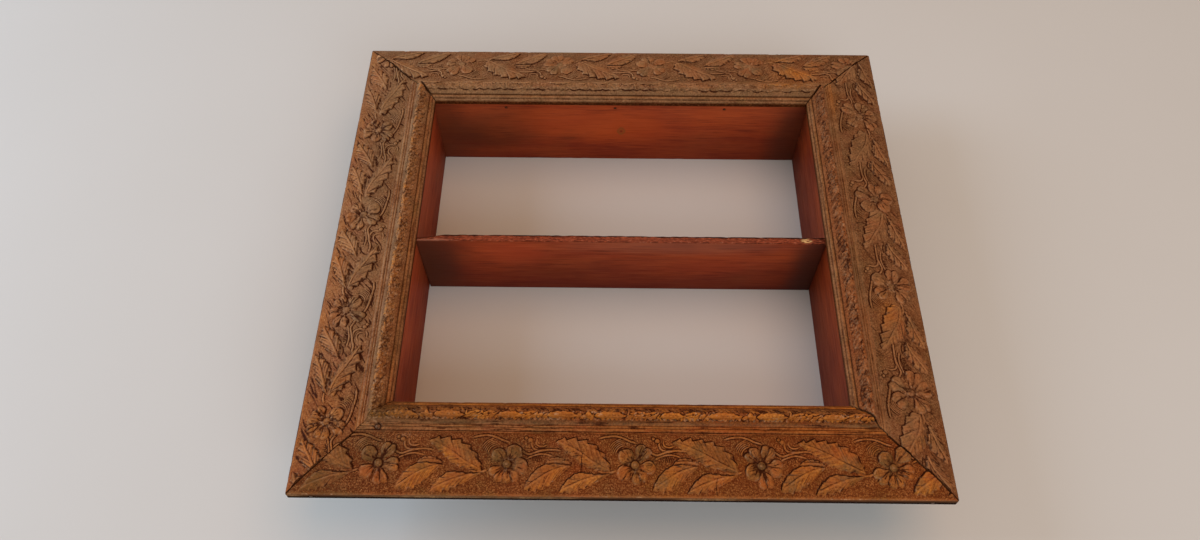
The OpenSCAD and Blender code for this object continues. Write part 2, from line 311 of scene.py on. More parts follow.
def leaf(rel, upper, lower, rib, period, depth, low, high, spacing, tone, teeth_low=(8.0, 1.2), start=3.0, seed=0, vein=0.3, lean=1.5, lowline=0.15, bright=0.5, slot=1.0, width=1.2, stop_low=0.86):
    """A serrated leaf: its edges run from tip to base on both sides of the rib."""
    a, na = toothed(upper, period, depth, start, 0.86, phase=0.1 * seed, out=-1)
    b, nb = toothed(lower, teeth_low[0], teeth_low[1], start, stop_low, phase=0.35 + 0.1 * seed, out=1)
    poly = np.vstack([a, b[::-1][:-1]])
    line = curve(rib, 1.2)
    w = rel.part(poly[:, 0].min() - 2.6, poly[:, 0].max() + 2.6, poly[:, 1].min() - 2.6, poly[:, 1].max() + 2.6)
    if w is None:
        return
    x, y = rel.x[w], rel.y[w]
    sd = inside_distance(poly, x, y)
    rd, rs, total = line_distance(line, x, y)
    ratio = rd / (rd + np.maximum(sd, 0) + 1e-6)
    fade = smooth(rs, 0, 5) * (1 - smooth(rs, total - 4, total + 1))
    order = np.argsort(line[:, 0])
    over = smooth(y - np.interp(x, line[order, 0], line[order, 1]), -1.0, 1.0)
    # towards the sight edge the leaf stands up to its rim; towards the outer edge it slopes down
    roof = 1 - ratio ** 1.5 * (0.22 * over + 1.0 * (1 - over))
    z = low + (high - low) * roof
    q = (rs + rd * lean + 0.6 * noise(x, y, 8.0, 17 + seed)) / spacing + 0.15 * seed
    f = q % 1.0
    saw = np.where(f < 0.82, f / 0.82, (1 - f) / 0.18)
    span = smooth(rd, 0.6, 2.2) * smooth(sd, 0.0, 1.2)
    z = z + 1.35 * vein * (saw - 0.6) * span * (0.75 + 0.25 * over)
    z += slot * (0.34 * fade * np.exp(-(rd / 0.8) ** 2) - 0.42 * fade * np.exp(-((rd - 1.7) / 0.65) ** 2) * (0.4 + 0.6 * over))
    z += 0.10 * noise(x, y, 5.0, 7 + seed, 2)
    rel.raise_part(w, sd, z, 0.6, rel.edge, lowline, tone, width, 0.75)
    v = np.exp(-((np.minimum(f, 1 - f) * spacing) / 0.45) ** 2) * smooth(rd, 0.8, 2.2) * (0.72 - 0.3 * over)
    # fine feathering along the veins
    hair = noise(q * spacing * 0.8, rd * 0.2, 1.7, 91 + seed, 2)
    v = np.maximum(v, 0.85 * smooth(hair, 0.05, 0.55) * smooth(rd, 0.6, 2.0) * (0.55 + 0.3 * (1 - over)))
    rel.h[w] += np.where(sd > 0.3, 0.15 * hair * smooth(sd, 0.3, 1.2), 0)
    # a dark line beside the rib, stronger on the half towards the sight edge: painted shadow under the raised rib
    v = np.maximum(v, slot * np.exp(-((rd - 1.5) / 0.5) ** 2) * (0.25 + 0.45 * over) * fade)
    rel.dirt_and_shade[w] = np.maximum(rel.dirt_and_shade[w], v * smooth(sd, 0.2, 1.0))
    # a pale line along the rib: painted highlight on the ridge
    rel.pale[w] = np.maximum(rel.pale[w], 0.42 * np.exp(-(rd / 0.6) ** 2) * fade * (sd > 0) * smooth(noise(x, y, 6.0, 29 + seed, 2), -0.3, 0.5))
    # the half towards the outer edge is brighter: partly worn gilt, partly painted light on the slope that faces the
    # lamps
    rel.bright[w] = np.where(sd > 0, bright * ((1 - over) * (0.55 + 0.45 * saw) + 0.42 * over * (0.3 + 0.7 * saw)) * np.clip(0.75 - 1.3 * hair, 0.05, 1.5), rel.bright[w])
    rel.soil[w] = np.where(sd > 0, 0.55 * smooth(noise(x, y, 13.0, 83 + seed, 2), 0.05, 0.5), rel.soil[w])
    rel.hue[w] = np.where(sd > 0, 0.12 + 0.9 * noise(x, y, 15.0, 85 + seed, 2) - 0.1 * over, rel.hue[w])
    if slot < 0.9:
        return
    # a dark stroke runs in from each notch along the vein, a painted shadow under the tooth; the lobe beside it has a
    # pale rim, a painted highlight
    for pts, force in ((na, 1.0), (nb, 0.7)):
        for k, p in enumerate(pts):
            dd = np.hypot(line[:, 0] - p[0], line[:, 1] - p[1])
            i = int(np.argmin(dd))
            far = min(len(line) - 1, i + int(dd[i] * lean * (0.95 + 0.35 * rel.flame) / 1.2))
            r = line[far] + (p - line[far]) * 0.12
            m = (p + r) / 2 + (line[max(i - 3, 0)] - line[i]) * 0.10
            wd = rel.part(min(p[0], r[0]) - 2.5, max(p[0], r[0]) + 2.5, min(p[1], r[1]) - 2.5, max(p[1], r[1]) + 2.5)
            if wd is None:
                continue
            st = curve([p, m, r], 1.6)
            ds, place, run = line_distance(st, rel.x[wd], rel.y[wd])
            t = place / run
            fat = (0.34 + 0.50 * np.sin(np.pi * np.clip(t + 0.18, 0, 1))) * (0.8 if width < 1.22 else 1.0 if width < 1.5 else 1.25)
            kk = np.exp(-(ds / (fat * (1 + 0.3 * rel.flame))) ** 2) * (1 - (0.8 - 0.4 * rel.flame) * t) * force * (0.8 + 0.3 * math.sin(2.1 * k + seed))
            kk = kk * (1.0 + 0.5 * (1 - rel.edge))
            rel.cut[wd] = np.maximum(rel.cut[wd], 0.5 * kk)
            rel.dirt_and_shade[wd] = np.maximum(rel.dirt_and_shade[wd], kk)
            d2, place2, run2 = line_distance(st + (-1.2, 0.2 if force > 0.9 else -0.2), rel.x[wd], rel.y[wd])
            rel.pale[wd] = np.maximum(rel.pale[wd], rel.rims * np.exp(-(d2 / (0.48 + 0.12 * rel.flame)) ** 2) * (1 - 0.7 * place2 / run2) * (0.7 + 0.3 * math.sin(1.7 * k + seed)))


def petal(rel, cx, cy, ang, reach, half, kind, seed):
    """A petal with two domed lobes and a notch between them, or one round dome (kind 1)."""
    w = rel.part(cx - reach - 4, cx + reach + 4, cy - reach - 4, cy + reach + 4)
    if w is None:
        return
    rng = np.random.default_rng(900 + seed)
    x, y = rel.x[w], rel.y[w]
    ca, sa = math.cos(ang), math.sin(ang)
    lx = (x - cx) * ca + (y - cy) * sa
    ly = -(x - cx) * sa + (y - cy) * ca
    lx = lx + 0.9 * noise(x, y, 5.5, 71 + seed, 2)
    ly = ly + 0.9 * noise(x, y, 5.5, 72 + seed, 2)
    taper = 1.6 + (half - 1.4) * smooth(lx, 3.4, reach - 6.0)
    wedge = np.minimum(np.minimum(lx - 3.6, taper - np.abs(ly)), (reach - half * 0.75 - lx) * 0.8)
    if kind == 1:
        r = half * 0.98
        e = np.hypot(lx - (reach - r), ly)
        sd = np.maximum(r - e, wedge)
        dome = 2.1 * np.sqrt(np.clip(1 - (e / (r * 1.05)) ** 2, 0, 1)) - 0.3 * np.exp(-((e - r * 0.66) / 0.6) ** 2)
        fold = np.zeros(x.shape)
    else:
        r1, r2 = half * (0.60 + rng.uniform(-0.05, 0.05)), half * (0.60 + rng.uniform(-0.05, 0.05))
        o = half * 0.44
        e1 = np.hypot((lx - (reach - r1 - rng.uniform(0, 0.8))) * 0.86, ly - o)
        e2 = np.hypot((lx - (reach - r2 - rng.uniform(0, 0.8))) * 0.86, ly + o)
        sd = np.maximum(np.maximum(r1 - e1, r2 - e2), wedge)
        d1 = 1.95 * np.sqrt(np.clip(1 - (e1 / (r1 * 1.06)) ** 2, 0, 1))
        d2 = 1.95 * np.sqrt(np.clip(1 - (e2 / (r2 * 1.06)) ** 2, 0, 1))
        dome = np.maximum(d1, d2)
        fold = np.exp(-(ly / 0.75) ** 2) * smooth(lx, 6.0, 10.0)
    body = 0.75 + np.maximum(dome, 0.75 * (1 - np.exp(-np.maximum(wedge, 0) / 1.2)))
    body -= 0.7 * fold
    for k in (-0.5, 0.5):
        rib = np.exp(-((ly - k * half * smooth(lx, 3, reach)) / 0.55) ** 2) * smooth(lx, 6, 9) * (1 - smooth(lx, reach - 6, reach - 2.5))
        body -= 0.28 * rib
        fold = np.maximum(fold, 0.75 * rib)
    ray = noise(ly / (lx + 3.0) * 26.0, lx * 0.25, 1.7, 81 + seed, 2) * smooth(lx, 5, 8)
    body += (0.16 + 0.16 * rel.flame) * ray
    body *= 0.42 + 0.58 * smooth(lx, 5.0, 11.5)
    body -= 0.30 * np.exp(-((lx - reach + half * 0.95) / 2.6) ** 2 - (np.abs(ly) - half * 0.4) ** 2 / 5.0)
    rel.raise_part(w, sd, body, 0.6, 0.95, 0.3, 0.5, 1.1, 0.9)
    # darker towards the flower's centre and along the folds: dirt and painted shade in the recesses
    rel.dirt_and_shade[w] = np.where(sd > 0.4, np.maximum(rel.dirt_and_shade[w], 0.85 * fold + 0.95 * (1 - smooth(lx, 4.5, 11.5)) * (0.8 + 0.6 * ray) + (0.6 + 0.35 * rel.flame) * smooth(ray, 0.05, 0.55)), rel.dirt_and_shade[w])
    rel.dirt_and_shade[w] = np.where(sd > 0.4, np.maximum(rel.dirt_and_shade[w], 0.3 * np.exp(-((lx - reach + half * 0.95) / 2.4) ** 2 - (np.abs(ly) - half * 0.4) ** 2 / 4.0) * (0.6 + 0.6 * noise(x, y, 5.0, 77 + seed))), rel.dirt_and_shade[w])
    # an inner rim line follows the petal's edge; the petals towards the sight edge are the dirtier ones
    rim = np.exp(-((sd - 2.3) / 0.55) ** 2) * smooth(lx, 8.0, 12.0) * (0.45 + 0.5 * noise(x, y, 5.0, 78 + seed))
    rel.h[w] -= np.where(sd > 0.4, 0.28 * rim, 0)
    rel.dirt_and_shade[w] = np.where(sd > 0.4, np.maximum(rel.dirt_and_shade[w], 0.62 * rim), rel.dirt_and_shade[w])
    # a pale band inside each petal's outer rim: painted highlight
    rel.pale[w] = np.maximum(rel.pale[w], np.where(sd > 0.2, (0.85 + 0.4 * rel.turn) * np.exp(-((sd - 1.2) / 0.55) ** 2) * smooth(lx, 9.0, 13.0) * smooth(noise(x, y, 4.5, 76 + seed, 2), -0.2, 0.5), 0))
    # petals towards the outer edge are brighter at their ends: painted highlight
    rel.bright[w] = np.where(sd > 0, 0.6 * smooth(lx, 10, 15) * (1 - smooth(sd, 1.2, 3.0) * 0.6) * (0.35 if sa > 0.1 else 1.0), rel.bright[w])
    own = rng.uniform(-0.6, 0.9) + (-0.3 if sa > 0.1 else 0.25)
    rel.hue[w] = np.where(sd > 0, own + 0.9 * noise(x, y, 7.0, 84 + seed, 2), rel.hue[w])
    rel.soil[w] = np.where(sd > 0, (0.8 if sa > -0.3 else 0.25) * np.clip(0.65 + 0.8 * noise(x, y, 9.0, 79 + seed), 0, 1), rel.soil[w])


def flower(rel, cx, cy, seed, scale=1.0, button=1.0):
    rng = np.random.default_rng(40 + seed)
    for i, (a, kind) in enumerate(((57, 0), (-12, 0), (131, 1), (-138, 0), (-77, 0))):
        if rng.uniform() < 0.2:
            kind = 1 - kind
        petal(rel, cx, cy, math.radians(a + rng.uniform(-8, 8)), scale * ((23.4 if a == 57 else 21.0) + rng.uniform(-2.4, 1.2)), scale * (8.3 + rng.uniform(-1.3, 0.7)), kind, seed * 7 + i)
    w = rel.part(cx - 9, cx + 9, cy - 9, cy + 9)
    if w is None:
        return
    x, y = rel.x[w], rel.y[w]
    r = np.hypot(x - cx, y - cy)
    th = np.arctan2(y - cy, x - cx)
    patchy = np.clip(0.72 + 0.75 * noise(x, y, 4.0, 95 + seed, 2), 0.1, 1.1)
    well = np.exp(-((r - 4.8) / 1.3) ** 2) * patchy
    rel.cut[w] = np.maximum(rel.cut[w], 0.8 * well)
    rel.dirt_and_shade[w] = np.maximum(rel.dirt_and_shade[w], 0.9 * well)
    dome = np.sqrt(np.clip(1 - (r / 4.1) ** 2, 0, 1)) * 2.3 - 0.8 * np.exp(-(r / 1.3) ** 2)
    dome += 0.26 * np.cos(7 * th) * smooth(r, 1.6, 3.2) * (1 - smooth(r, 3.4, 4.3))
    m = smooth(-r, -4.0, -3.4)
    dome = dome * button
    rel.h[w] = np.where(r < 4.1, np.maximum(dome, rel.h[w] * (1 - m)), rel.h[w])
    rel.cut[w] *= 1 - m
    ring = np.exp(-((r - 2.1) / 0.6) ** 2) * 0.75 * patchy * button + np.exp(-(r / 0.7) ** 2) * 0.4
    ring = np.maximum(ring, (1 - button) * 0.9 * smooth(noise(x, y, 2.6, 98 + seed, 2), -0.25, 0.35))
    if button < 1:
        ray = noise(th * 5.5, r * 0.22, 1.0, 99 + seed, 2) * smooth(r, 2.5, 4.0) * (1 - smooth(r, 7.0, 9.0))
        rel.pale[w] = np.maximum(rel.pale[w], smooth(ray, 0.12, 0.4))
        rel.dirt_and_shade[w] = np.maximum(rel.dirt_and_shade[w], 0.8 * smooth(-ray, 0.12, 0.4))
    rel.dirt_and_shade[w] = rel.dirt_and_shade[w] * (1 - m) + ring * m
    # a small pale spot just off the button's centre: painted highlight
    rel.pale[w] = np.maximum(rel.pale[w] * (1 - m), 0.7 * np.exp(-(np.hypot(x - cx + 0.6, y - cy + 0.4) / 1.2) ** 2))
    rel.bright[w] = rel.bright[w] * (1 - m)
    rel.hue[w] = rel.hue[w] * (1 - m) + m * rng.uniform(-1.0, 0.6)
    rel.soil[w] = np.maximum(rel.soil[w], (1 - smooth(r, 5.0, 11.0)) * (0.6 + 0.5 * noise(x, y, 5.0, 96 + seed)))
    rel.on[w] = np.maximum(rel.on[w], 1 - smooth(r, 6.5, 8.5))


def bud(rel, cx, cy, r, dirt_and_shade=0.8):
    w = rel.part(cx - r - 2, cx + r + 2, cy - r - 2, cy + r + 2)
    if w is None:
        return
    q = np.hypot(rel.x[w] - cx, rel.y[w] - cy)
    ball = np.sqrt(np.clip(1 - (q / (r * 1.1)) ** 2, 0, 1)) * (0.5 + r * 0.42) - 0.25 * np.exp(-(q / (0.35 * r)) ** 2)
    rel.h[w] = np.maximum(rel.h[w], ball)
    ring = np.exp(-((q - r - 0.5) / 0.5) ** 2)
    rel.cut[w] = np.maximum(rel.cut[w] * (1 - smooth(-q, -r, -r + 0.7)), ring * 0.35)
    rel.dirt_and_shade[w] = np.maximum(rel.dirt_and_shade[w] * (1 - smooth(-q, -r, -r + 0.7)), ring * dirt_and_shade)
    rel.on[w] = np.maximum(rel.on[w], 1 - smooth(q, r * 0.9, r * 1.2))


# How each strip's repeats differ from the first one: ((u, across), (shift along, shift across))
WARP = {
    "bottom": [((97, 24), (8.5, -1.0)), ((100, 29.2), (4.0, -0.5)), ((84, 26.6), (1.5, 0)), ((60, 31), (4.5, -1.4)), ((67, 58.4), (0, -1.2)), ((56, 59.4), (0, -1.3)), ((46, 57.4), (0, -1.0)), ((34, 6.2), (0, 0)), ((61, 3.4), (0, 0)),
               ((72, 22.6), (0, 0)), ((30, 25.4), (0, 0)), ((30, 43.4), (0, 0)), ((100, 36), (1, 0))],
    "left": [((97, 24), (5.5, 3.2)), ((100, 36), (3.5, -1.5)), ((94.5, 44), (2, -3.6)), ((87, 50.6), (0.5, -4)), ((78, 55.4), (-0.5, -4)), ((67, 58.4), (0, -3.6)), ((56, 59.4), (0, -3)), ((46, 57.4), (1, -2)),
             ((41, 54.8), (0, 0)), ((60, 38.4), (0, 0.5)), ((48, 48), (0, 0)), ((30, 43.4), (0, -1.8)), ((40, 45.4), (0, -2)), ((18, 6.2), (0, 0.8)), ((37, 30.2), (0, 0.4)), ((53, 3.8), (0, 0)), ((65, 19.4), (0, 2.4)), ((72, 22.6), (0, 3.0)), ((80, 22.6), (1, 2.5)), ((77, 7.8), (0, 0))],
    "right": [((97, 24), (8, 0.8)), ((100, 36), (7, -0.5)), ((94.5, 44), (5, -2)), ((87, 50.6), (3, -4)), ((78, 55.4), (1.5, -5)), ((67, 58.4), (1, -5)), ((56, 59.4), (2, -4.6)), ((46, 57.4), (4, -3)),
              ((41, 54.8), (11, -6)), ((60, 38.4), (2, -5.5)), ((48, 48), (8, -5)), ((66, 33.4), (1, -7)), ((74, 29.8), (1, -7)), ((84, 26.6), (2, -5)), ((69, 42.8), (2, -4)), ((72, 22.6), (0, 0)), ((80, 22.6), (0, 0)), ((30, 43.4), (0, -3.5)), ((40, 45.4), (0, -3.5)), ((18, 6.2), (6, 1)), ((19.6, 12.2), (5, -1)), ((29.8, 25.4), (2, -3.5)), ((37, 30.2), (1, -3.5)), ((46, 32), (0, -2)),
              ((53, 3.8), (0, 0)), ((65, 19.4), (0, 0)), ((77, 7.8), (0, 0)), ((-22, 60), (0, -1.8)), ((-2, 56.6), (0, -2.5))],
}


def shifted(points, dx, dy, bend=0.0, side="top"):
    """Moves a motif's points; bend slides the big leaf's tip along the strip."""
    p = np.asarray(points, float).copy()
    if side in WARP:
        src = np.array([a for a, b in WARP[side]], float)
        away = np.array([b for a, b in WARP[side]], float)
        w = 1.0 / (np.hypot(p[:, None, 0] - src[None, :, 0], p[:, None, 1] - src[None, :, 1]) + 1.5) ** 3
        p = p + (w / (w.sum(1, keepdims=True) + 12.0 ** -3)) @ away
    if bend:
        p[:, 0] += bend * np.clip((95 - p[:, 0]) / 53, 0, 1)
    return p + (dx, dy)


def motif(rel, c, seed, bend, side):
    """One repeat: flower, three leaves, stems, buds and tendrils, the flower centred at (c, 31)."""
    rng = np.random.default_rng(300 + seed)
    j = lambda s=0.7: rng.uniform(-s, s)
    dx, dy = c + j(0.4), j(0.3)
    stile = side in ("left", "right")
    # fan of fine curved lines beside the upper petal, under the arched tendril
    for k, rad in enumerate((10.2, 12.1, 14.0, 15.9, 17.8)):
        th = np.radians(np.linspace(92 + 3 * k, 178 - 6 * k, 12))
        rel.strand(np.stack([dx - 9.5 + rad * np.cos(th), dy + 41.0 + rad * 0.95 * np.sin(th)], 1)[:, :], 0.62, 0.42, 0.9)
    # fan of lines between the stem and the long leaf
    for k in range(7):
        x0 = 24.5 + 2.1 * k
        rel.scratch(curve(shifted([(x0, 40.5 - 0.2 * k), (x0 + 1.6, 37.0), (x0 + 2.4, 33.2 - 0.1 * k)], dx, dy, 0, side)), 0.55, 0.3, 0.75)
    # arched tendril over the flower
    if stile:
        # on the stiles the tendril turns in at its end and runs on as the stem
        arch = {"left": [(-36, 57.2), (-28, 58.4), (-18, 57.4), (-8, 55.8), (0, 53.6), (6.7, 49.6), (11.5, 45.6), (17, 41)], "right": [(-30, 57.8), (-22, 58.6), (-12, 57.6), (-3, 55.2), (5, 53), (12, 50.5), (18, 46)]}[side]
        rel.strand(curve(shifted(arch, dx, dy)), 1.05, 0.75, 1.25)
        rel.scratch(curve(shifted([(u, v + 1.5) for u, v in arch[:6]], dx, dy)), 0.75, 0.4, 1.1)
        for pts in ([(31, 36.5), (34.5, 38.6), (39, 39.2), (44, 37.4)], [(24, 33.5), (27, 36.2), (31, 37.6)], [(45, 34.5), (51, 36), (57, 35)]):
            rel.scratch(curve(shifted(pts, dx, dy, 0, side)), 0.7, 0.4, 0.9)
    else:
        rel.strand(curve(shifted([(-37, 57.6), (-29, 59.6), (-20, 60.2), (-12, 58.4), (-5, 55.2), (2, 53.2)], dx, dy, 0, side)), 0.95, 0.75, 1.1)
    rel.strand(curve(shifted([(-13, 58.6), (-17, 55.8), (-20.5, 52), (-23, 47.5)], dx, dy, 0, side)), 0.75, 0.45, 0.9)
    # stems to the big leaf
    rel.strand(curve(shifted([(13, 46.5), (18, 42.4), (23, 41.0), (30, 43.4), (38, 45.4), (46, 46.4), (54, 45.5)], dx, dy, 0, side)), 0.95, 0.75, 1.0)
    rel.strand(curve(shifted([(19, 36.0), (25, 38.8), (32, 41), (39, 41.2), (46, 39.2)], dx, dy, 0, side)), 0.8, 0.6, 0.9)
    rel.strand(curve(shifted([(-37, 24.5), (-31, 22.8), (-25, 23), (-19.5, 25)], dx, dy, 0, side)), 1.0, 0.65, 0.6)
    # cup at the big leaf's tip, with its hook and buds
    for k, (pts, r, hh) in enumerate((([(25.5, 56.5), (24.6, 51.5), (26.6, 47.0), (31.5, 45.2), (37.5, 46.4)], 0.9, 0.85), ([(29.5, 56.8), (29.0, 52.6), (31.4, 49.8), (36, 49.4), (40.5, 51.4)], 0.75, 0.6),
                                      ([(33.5, 57.4), (33.2, 54.6), (35.4, 53.2), (39, 54.2)], 0.65, 0.5), ([(37, 59.6), (31.5, 60.2), (27.4, 58.4)], 0.8, 0.6))):
        if (k > 1 and not stile) or (side == "right" and k > 0) or (side == "left" and k == 2):
            continue
        rel.strand(curve(shifted(pts, dx, dy, 0, side)), r, hh, 0.85)
    bud(rel, dx + 22.6 + j(), dy + 55.6, 2.3)
    bud(rel, dx + 18.8 + j(), dy + 58.0, 1.6)
    # small leaf under the stem
    if not stile:
        leaf(rel, shifted([(38.5, 32.0), (42.5, 36.6), (49, 38.8), (56, 37.2), (61, 33.2)], dx, dy, 0, side), shifted([(38.5, 32.0), (44, 31.0), (52, 30.8), (61, 33.2)], dx, dy, 0, side),
             shifted([(39, 32.6), (46, 34.2), (54, 34.6), (60, 33.4)], dx, dy, 0, side), 5.5, 0.7, 0.3, 0.9, 3.4, 0.1, (6.0, 0.4), 2.0, seed % 3, 0.22, 1.2, 0.7, 0.1)
    # long leaf along the outer edge, then the wide leaf below the flower
    leaf(rel, shifted([(53 + j(), 3.8), (55.5, 8.6), (59, 14), (65, 19.4), (72, 22.6), (80, 22.6), (88, 21.6), (97, 23)], dx, dy, 0, side),
         shifted([(53, 3.8), (61, 3.4), (69, 5.0), (77, 7.8), (85, 11.6), (91, 16), (97, 23)], dx, dy, 0, side),
         shifted([(54.5, 4.9), (63, 9.4), (73, 13.8), (84, 17.8), (97, 23)], dx, dy, 0, side), 8.5, 1.8 if stile else 0.7, 0.3, 2.2, 6.6, 0.75, (6.6, 2.7) if stile else (7.6, 2.6), 2.2, seed % 4, 0.48 if stile else 0.36, 1.9, 0.3, 1.0, stop_low=0.86 if stile else 0.52)
    leaf(rel, shifted([(18 + j(), 6.2), (19.6, 12.2), (23.8, 19), (29.8, 25.4), (37.4, 30.2), (46, 32), (53, 31.8), (60, 31)], dx, dy, 0, side),
         shifted([(18, 6.2), (26, 4.8), (34.5, 6.2), (41.8, 10.0), (48, 15.0), (53.2, 21.0), (60, 31)], dx, dy, 0, side),
         shifted([(19.5, 7.4), (27.4, 12.8), (37.4, 19.4), (48, 25.6), (59, 30.6)], dx, dy, 0, side), 9.0, 1.8 if stile else 0.6, 0.35, 2.4, 6.8, 0.85, (6.8, 2.9) if stile else (7.8, 2.8), 2.2, seed % 3, 0.5 if stile else 0.36, 1.8, 0.3, 1.05, stop_low=0.86 if stile else 0.5)
    # the big leaf above
    leaf(rel, shifted([(41, 54.8), (46, 57.4), (56, 59.4), (67, 58.4), (78, 55.4), (87, 50.6), (94.5, 44), (100, 36), (100, 29.2), (96.5, 24.4)], dx, dy, bend, side),
         shifted([(41, 54.8), (47.4, 49.4), (54, 43.6), (59.6, 38.4), (66, 33.4), (74, 29.8), (84, 26.6), (96.5, 24.4)], dx, dy, bend, side),
         shifted([(43, 54.2), (54, 50.6), (69, 42.8), (83, 33.8), (96, 25)], dx, dy, bend, side), {"left": 12.0, "right": 12.4}.get(side, 11.4), {"left": 3.5, "right": 2.8}.get(side, 3.7), 0.45, 2.3, 7.6, 0.55, (9.4, 1.3), 2.6, seed % 4, 0.46, 1.3, 0.2, 0.85, 1.0, {"left": 1.6, "right": 1.2}.get(side, 1.45))
    flower(rel, dx, dy + 31, seed, 1.14 if side == "right" else 1.0, 1.0 if side == "bottom" else 0.35)
    keep = {"bottom": 1.0, "left": 0.92, "right": 0.6, "top": 0.36}[side]
    w = rel.part(dx - 25, dx + 25, dy + 7, dy + 56)
    if w is not None and keep < 1:
        near = 1 - smooth(np.hypot(rel.x[w] - dx, rel.y[w] - dy - 31), 20.0, 24.0)
        rel.dirt_and_shade[w] *= 1 - (1 - keep) * near * (0.7 + 0.5 * noise(rel.x[w], rel.y[w], 12.0, seed + 97, 2))
        rel.cut[w] *= 1 - 0.6 * (1 - keep) * near
        rel.h[w] *= 1 - {"top": 0.6}.get(side, 0.35) * (1 - keep) * near
        rel.bright[w] *= 1 - (1 - keep) * near


CENTRES = {
    "bottom": [(-39, 8), (91, 8), (221, 8), (350.5, -3), (478.5, -3), (611.5, 2), (741, 0)],
    "left": [(18, 0), (148, 2), (277.5, 4), (408, 2), (540.5, 3), (670, 0)],
    "right": [(-16, 3), (113.5, 0), (244, 2), (367, 0), (498, 2), (627, 0)],
    "top": [(35.5, 0), (166, 3), (297, 0), (418, 3), (549, 0), (679, 0)],
}
# Wear that came with use: (u, across, reach along, reach across, amount)
GOLD = {
    "bottom": [(140, 14, 30, 14, 0.5), (262, 16, 26, 12, 0.7), (300, 14, 22, 10, 0.6), (390, 14, 30, 14, 0.9), (430, 14, 26, 12, 0.6),
               (510, 20, 34, 16, 0.6), (350, 32, 24, 20, 0.6), (470, 28, 26, 20, 0.4), (600, 22, 44, 22, 0.45), (200, 20, 24, 14, 0.5), (400, 48, 40, 10, 0.35), (640, 14, 18, 12, 0.7)],
    "right": [(212, 38, 24, 12, 1.0), (150, 14, 60, 10, 0.35), (90, 20, 30, 12, 0.3), (528, 64, 38, 7, 0.75)],
    "left": [(20, 8, 30, 9, 0.6), (330, 8, 120, 8, 0.55), (250, 14, 30, 10, 0.3), (548, 30, 50, 24, 0.42), (470, 9, 60, 7, 0.16)],
    "top": [(108, 46, 34, 18, 1.0), (128, 22, 18, 10, 0.9), (60, 56, 50, 8, 0.5), (300, 30, 60, 12, 0.2), (118, 66, 36, 7, 0.7)],
}
GRIME = {
    "bottom": [(20, 30, 60, 60, 0.5), (84, 46, 22, 22, 0.8), (104, 44, 10, 12, 0.8), (96, 30, 8, 8, 0.7), (232, 42, 10, 12, 0.95), (212, 38, 14, 12, 0.85), (224, 30, 7, 7, 0.9), (276, 38, 9, 9, 0.8), (356, 42, 12, 12, 0.8), (366, 34, 8, 8, 0.8), (350, 28, 7, 7, 0.7), (484, 44, 9, 10, 0.6), (478, 28, 7, 7, 0.7), (604, 40, 10, 10, 0.5), (612, 32, 6, 6, 0.7), (150, 52, 14, 8, 0.5), (410, 50, 12, 8, 0.4)],
    "right": [(243, 31, 8, 9, 1.0), (330, 56, 16, 6, 0.7), (470, 34, 90, 30, 0.5), (560, 30, 60, 40, 0.4)],
    "left": [(150, 40, 110, 30, 0.6), (360, 50, 16, 16, 0.7), (140, 28, 24, 18, 0.6), (555, 48, 14, 14, 0.4), (606, 40, 30, 40, 0.5)],
    "top": [(200, 40, 120, 30, 0.25), (460, 40, 120, 40, 0.4), (40, 40, 60, 40, 0.3), (150, 35, 14, 14, 0.5)],
}
# Small places where the finish has gone and the pale ground shows
PALE = {
    "bottom": [(80, 73, 12, 5, 0.6), (118, 60, 10, 2, 0.3)],
    "right": [(60, 66, 14, 3, 0.4), (84, 80, 8, 4, 0.5)],
    "left": [(15, 13, 7, 3.2, 1.0), (88, 79, 10, 2.4, 0.8), (104, 78, 8, 2.0, 0.6), (60, 8, 14, 3, 0.4)],
    "top": [(628, 45, 9, 3.2, 1.0), (603, 69, 10, 3.0, 0.8), (585, 84, 10, 3.0, 0.7), (520, 84, 20, 2.5, 0.5)],
}
CRACKS = {
    "bottom": [[(296, 22), (297, 30), (296.5, 36), (297.6, 43)], [(433, 2), (432, 12), (434, 20)]],
    "right": [[(330, 60), (331, 53), (329, 47)], [(404, 4), (405, 13), (403, 24)]],
    "left": [[(222, 1), (224, 10), (222.5, 19)], [(392, 30), (393, 44)]],
    "top": [[(250, 3), (251, 16), (249.5, 24)], [(505, 40), (504, 55)]],
}


def tan_amount(side, u, d, seed):
    """How tan the finish is: most at the far left corner, least along the near rail."""
    if side == "bottom":
        t = 0.02 + 0.14 * (1 - u / W) + 0.42 * smooth(d, 63, 66) * (1 - smooth(d, 74, 77)) * smooth(-u, -0.62 * W, -0.15 * W)
    elif side == "right":
        t = (0.46 + 0.26 * u / H) * (1 + 0.4 * smooth(d, 58, 62) * (1 - smooth(d, 76, 79)))
    elif side == "top":
        t = (0.58 + 0.48 * u / W) * (1 + 0.1 * smooth(d, 58, 62))
    else:
        t = (0.84 - 0.34 * u / H) * (1 - 0.75 * smooth(u, 0.72 * H, 0.95 * H))
        t = t * (1 + 0.22 * smooth(d, 16, 28) * (1 - smooth(d, 50, 58)) + 0.42 * smooth(d, 58, 62) * (1 - smooth(d, 78, 83)) - 0.12 * smooth(d, 79, 84))
    return np.clip(t + (0.10 + 0.1 * t) * noise(u, d, 26.0, seed + 71, 3), 0, 1)


def spots(table, u, d):
    out = np.zeros(u.shape)
    for cu, cd, ru, rd, amount in table:
        out = np.maximum(out, amount * np.exp(-((u - cu) / ru) ** 2 - ((d - cd) / rd) ** 2))
    return out


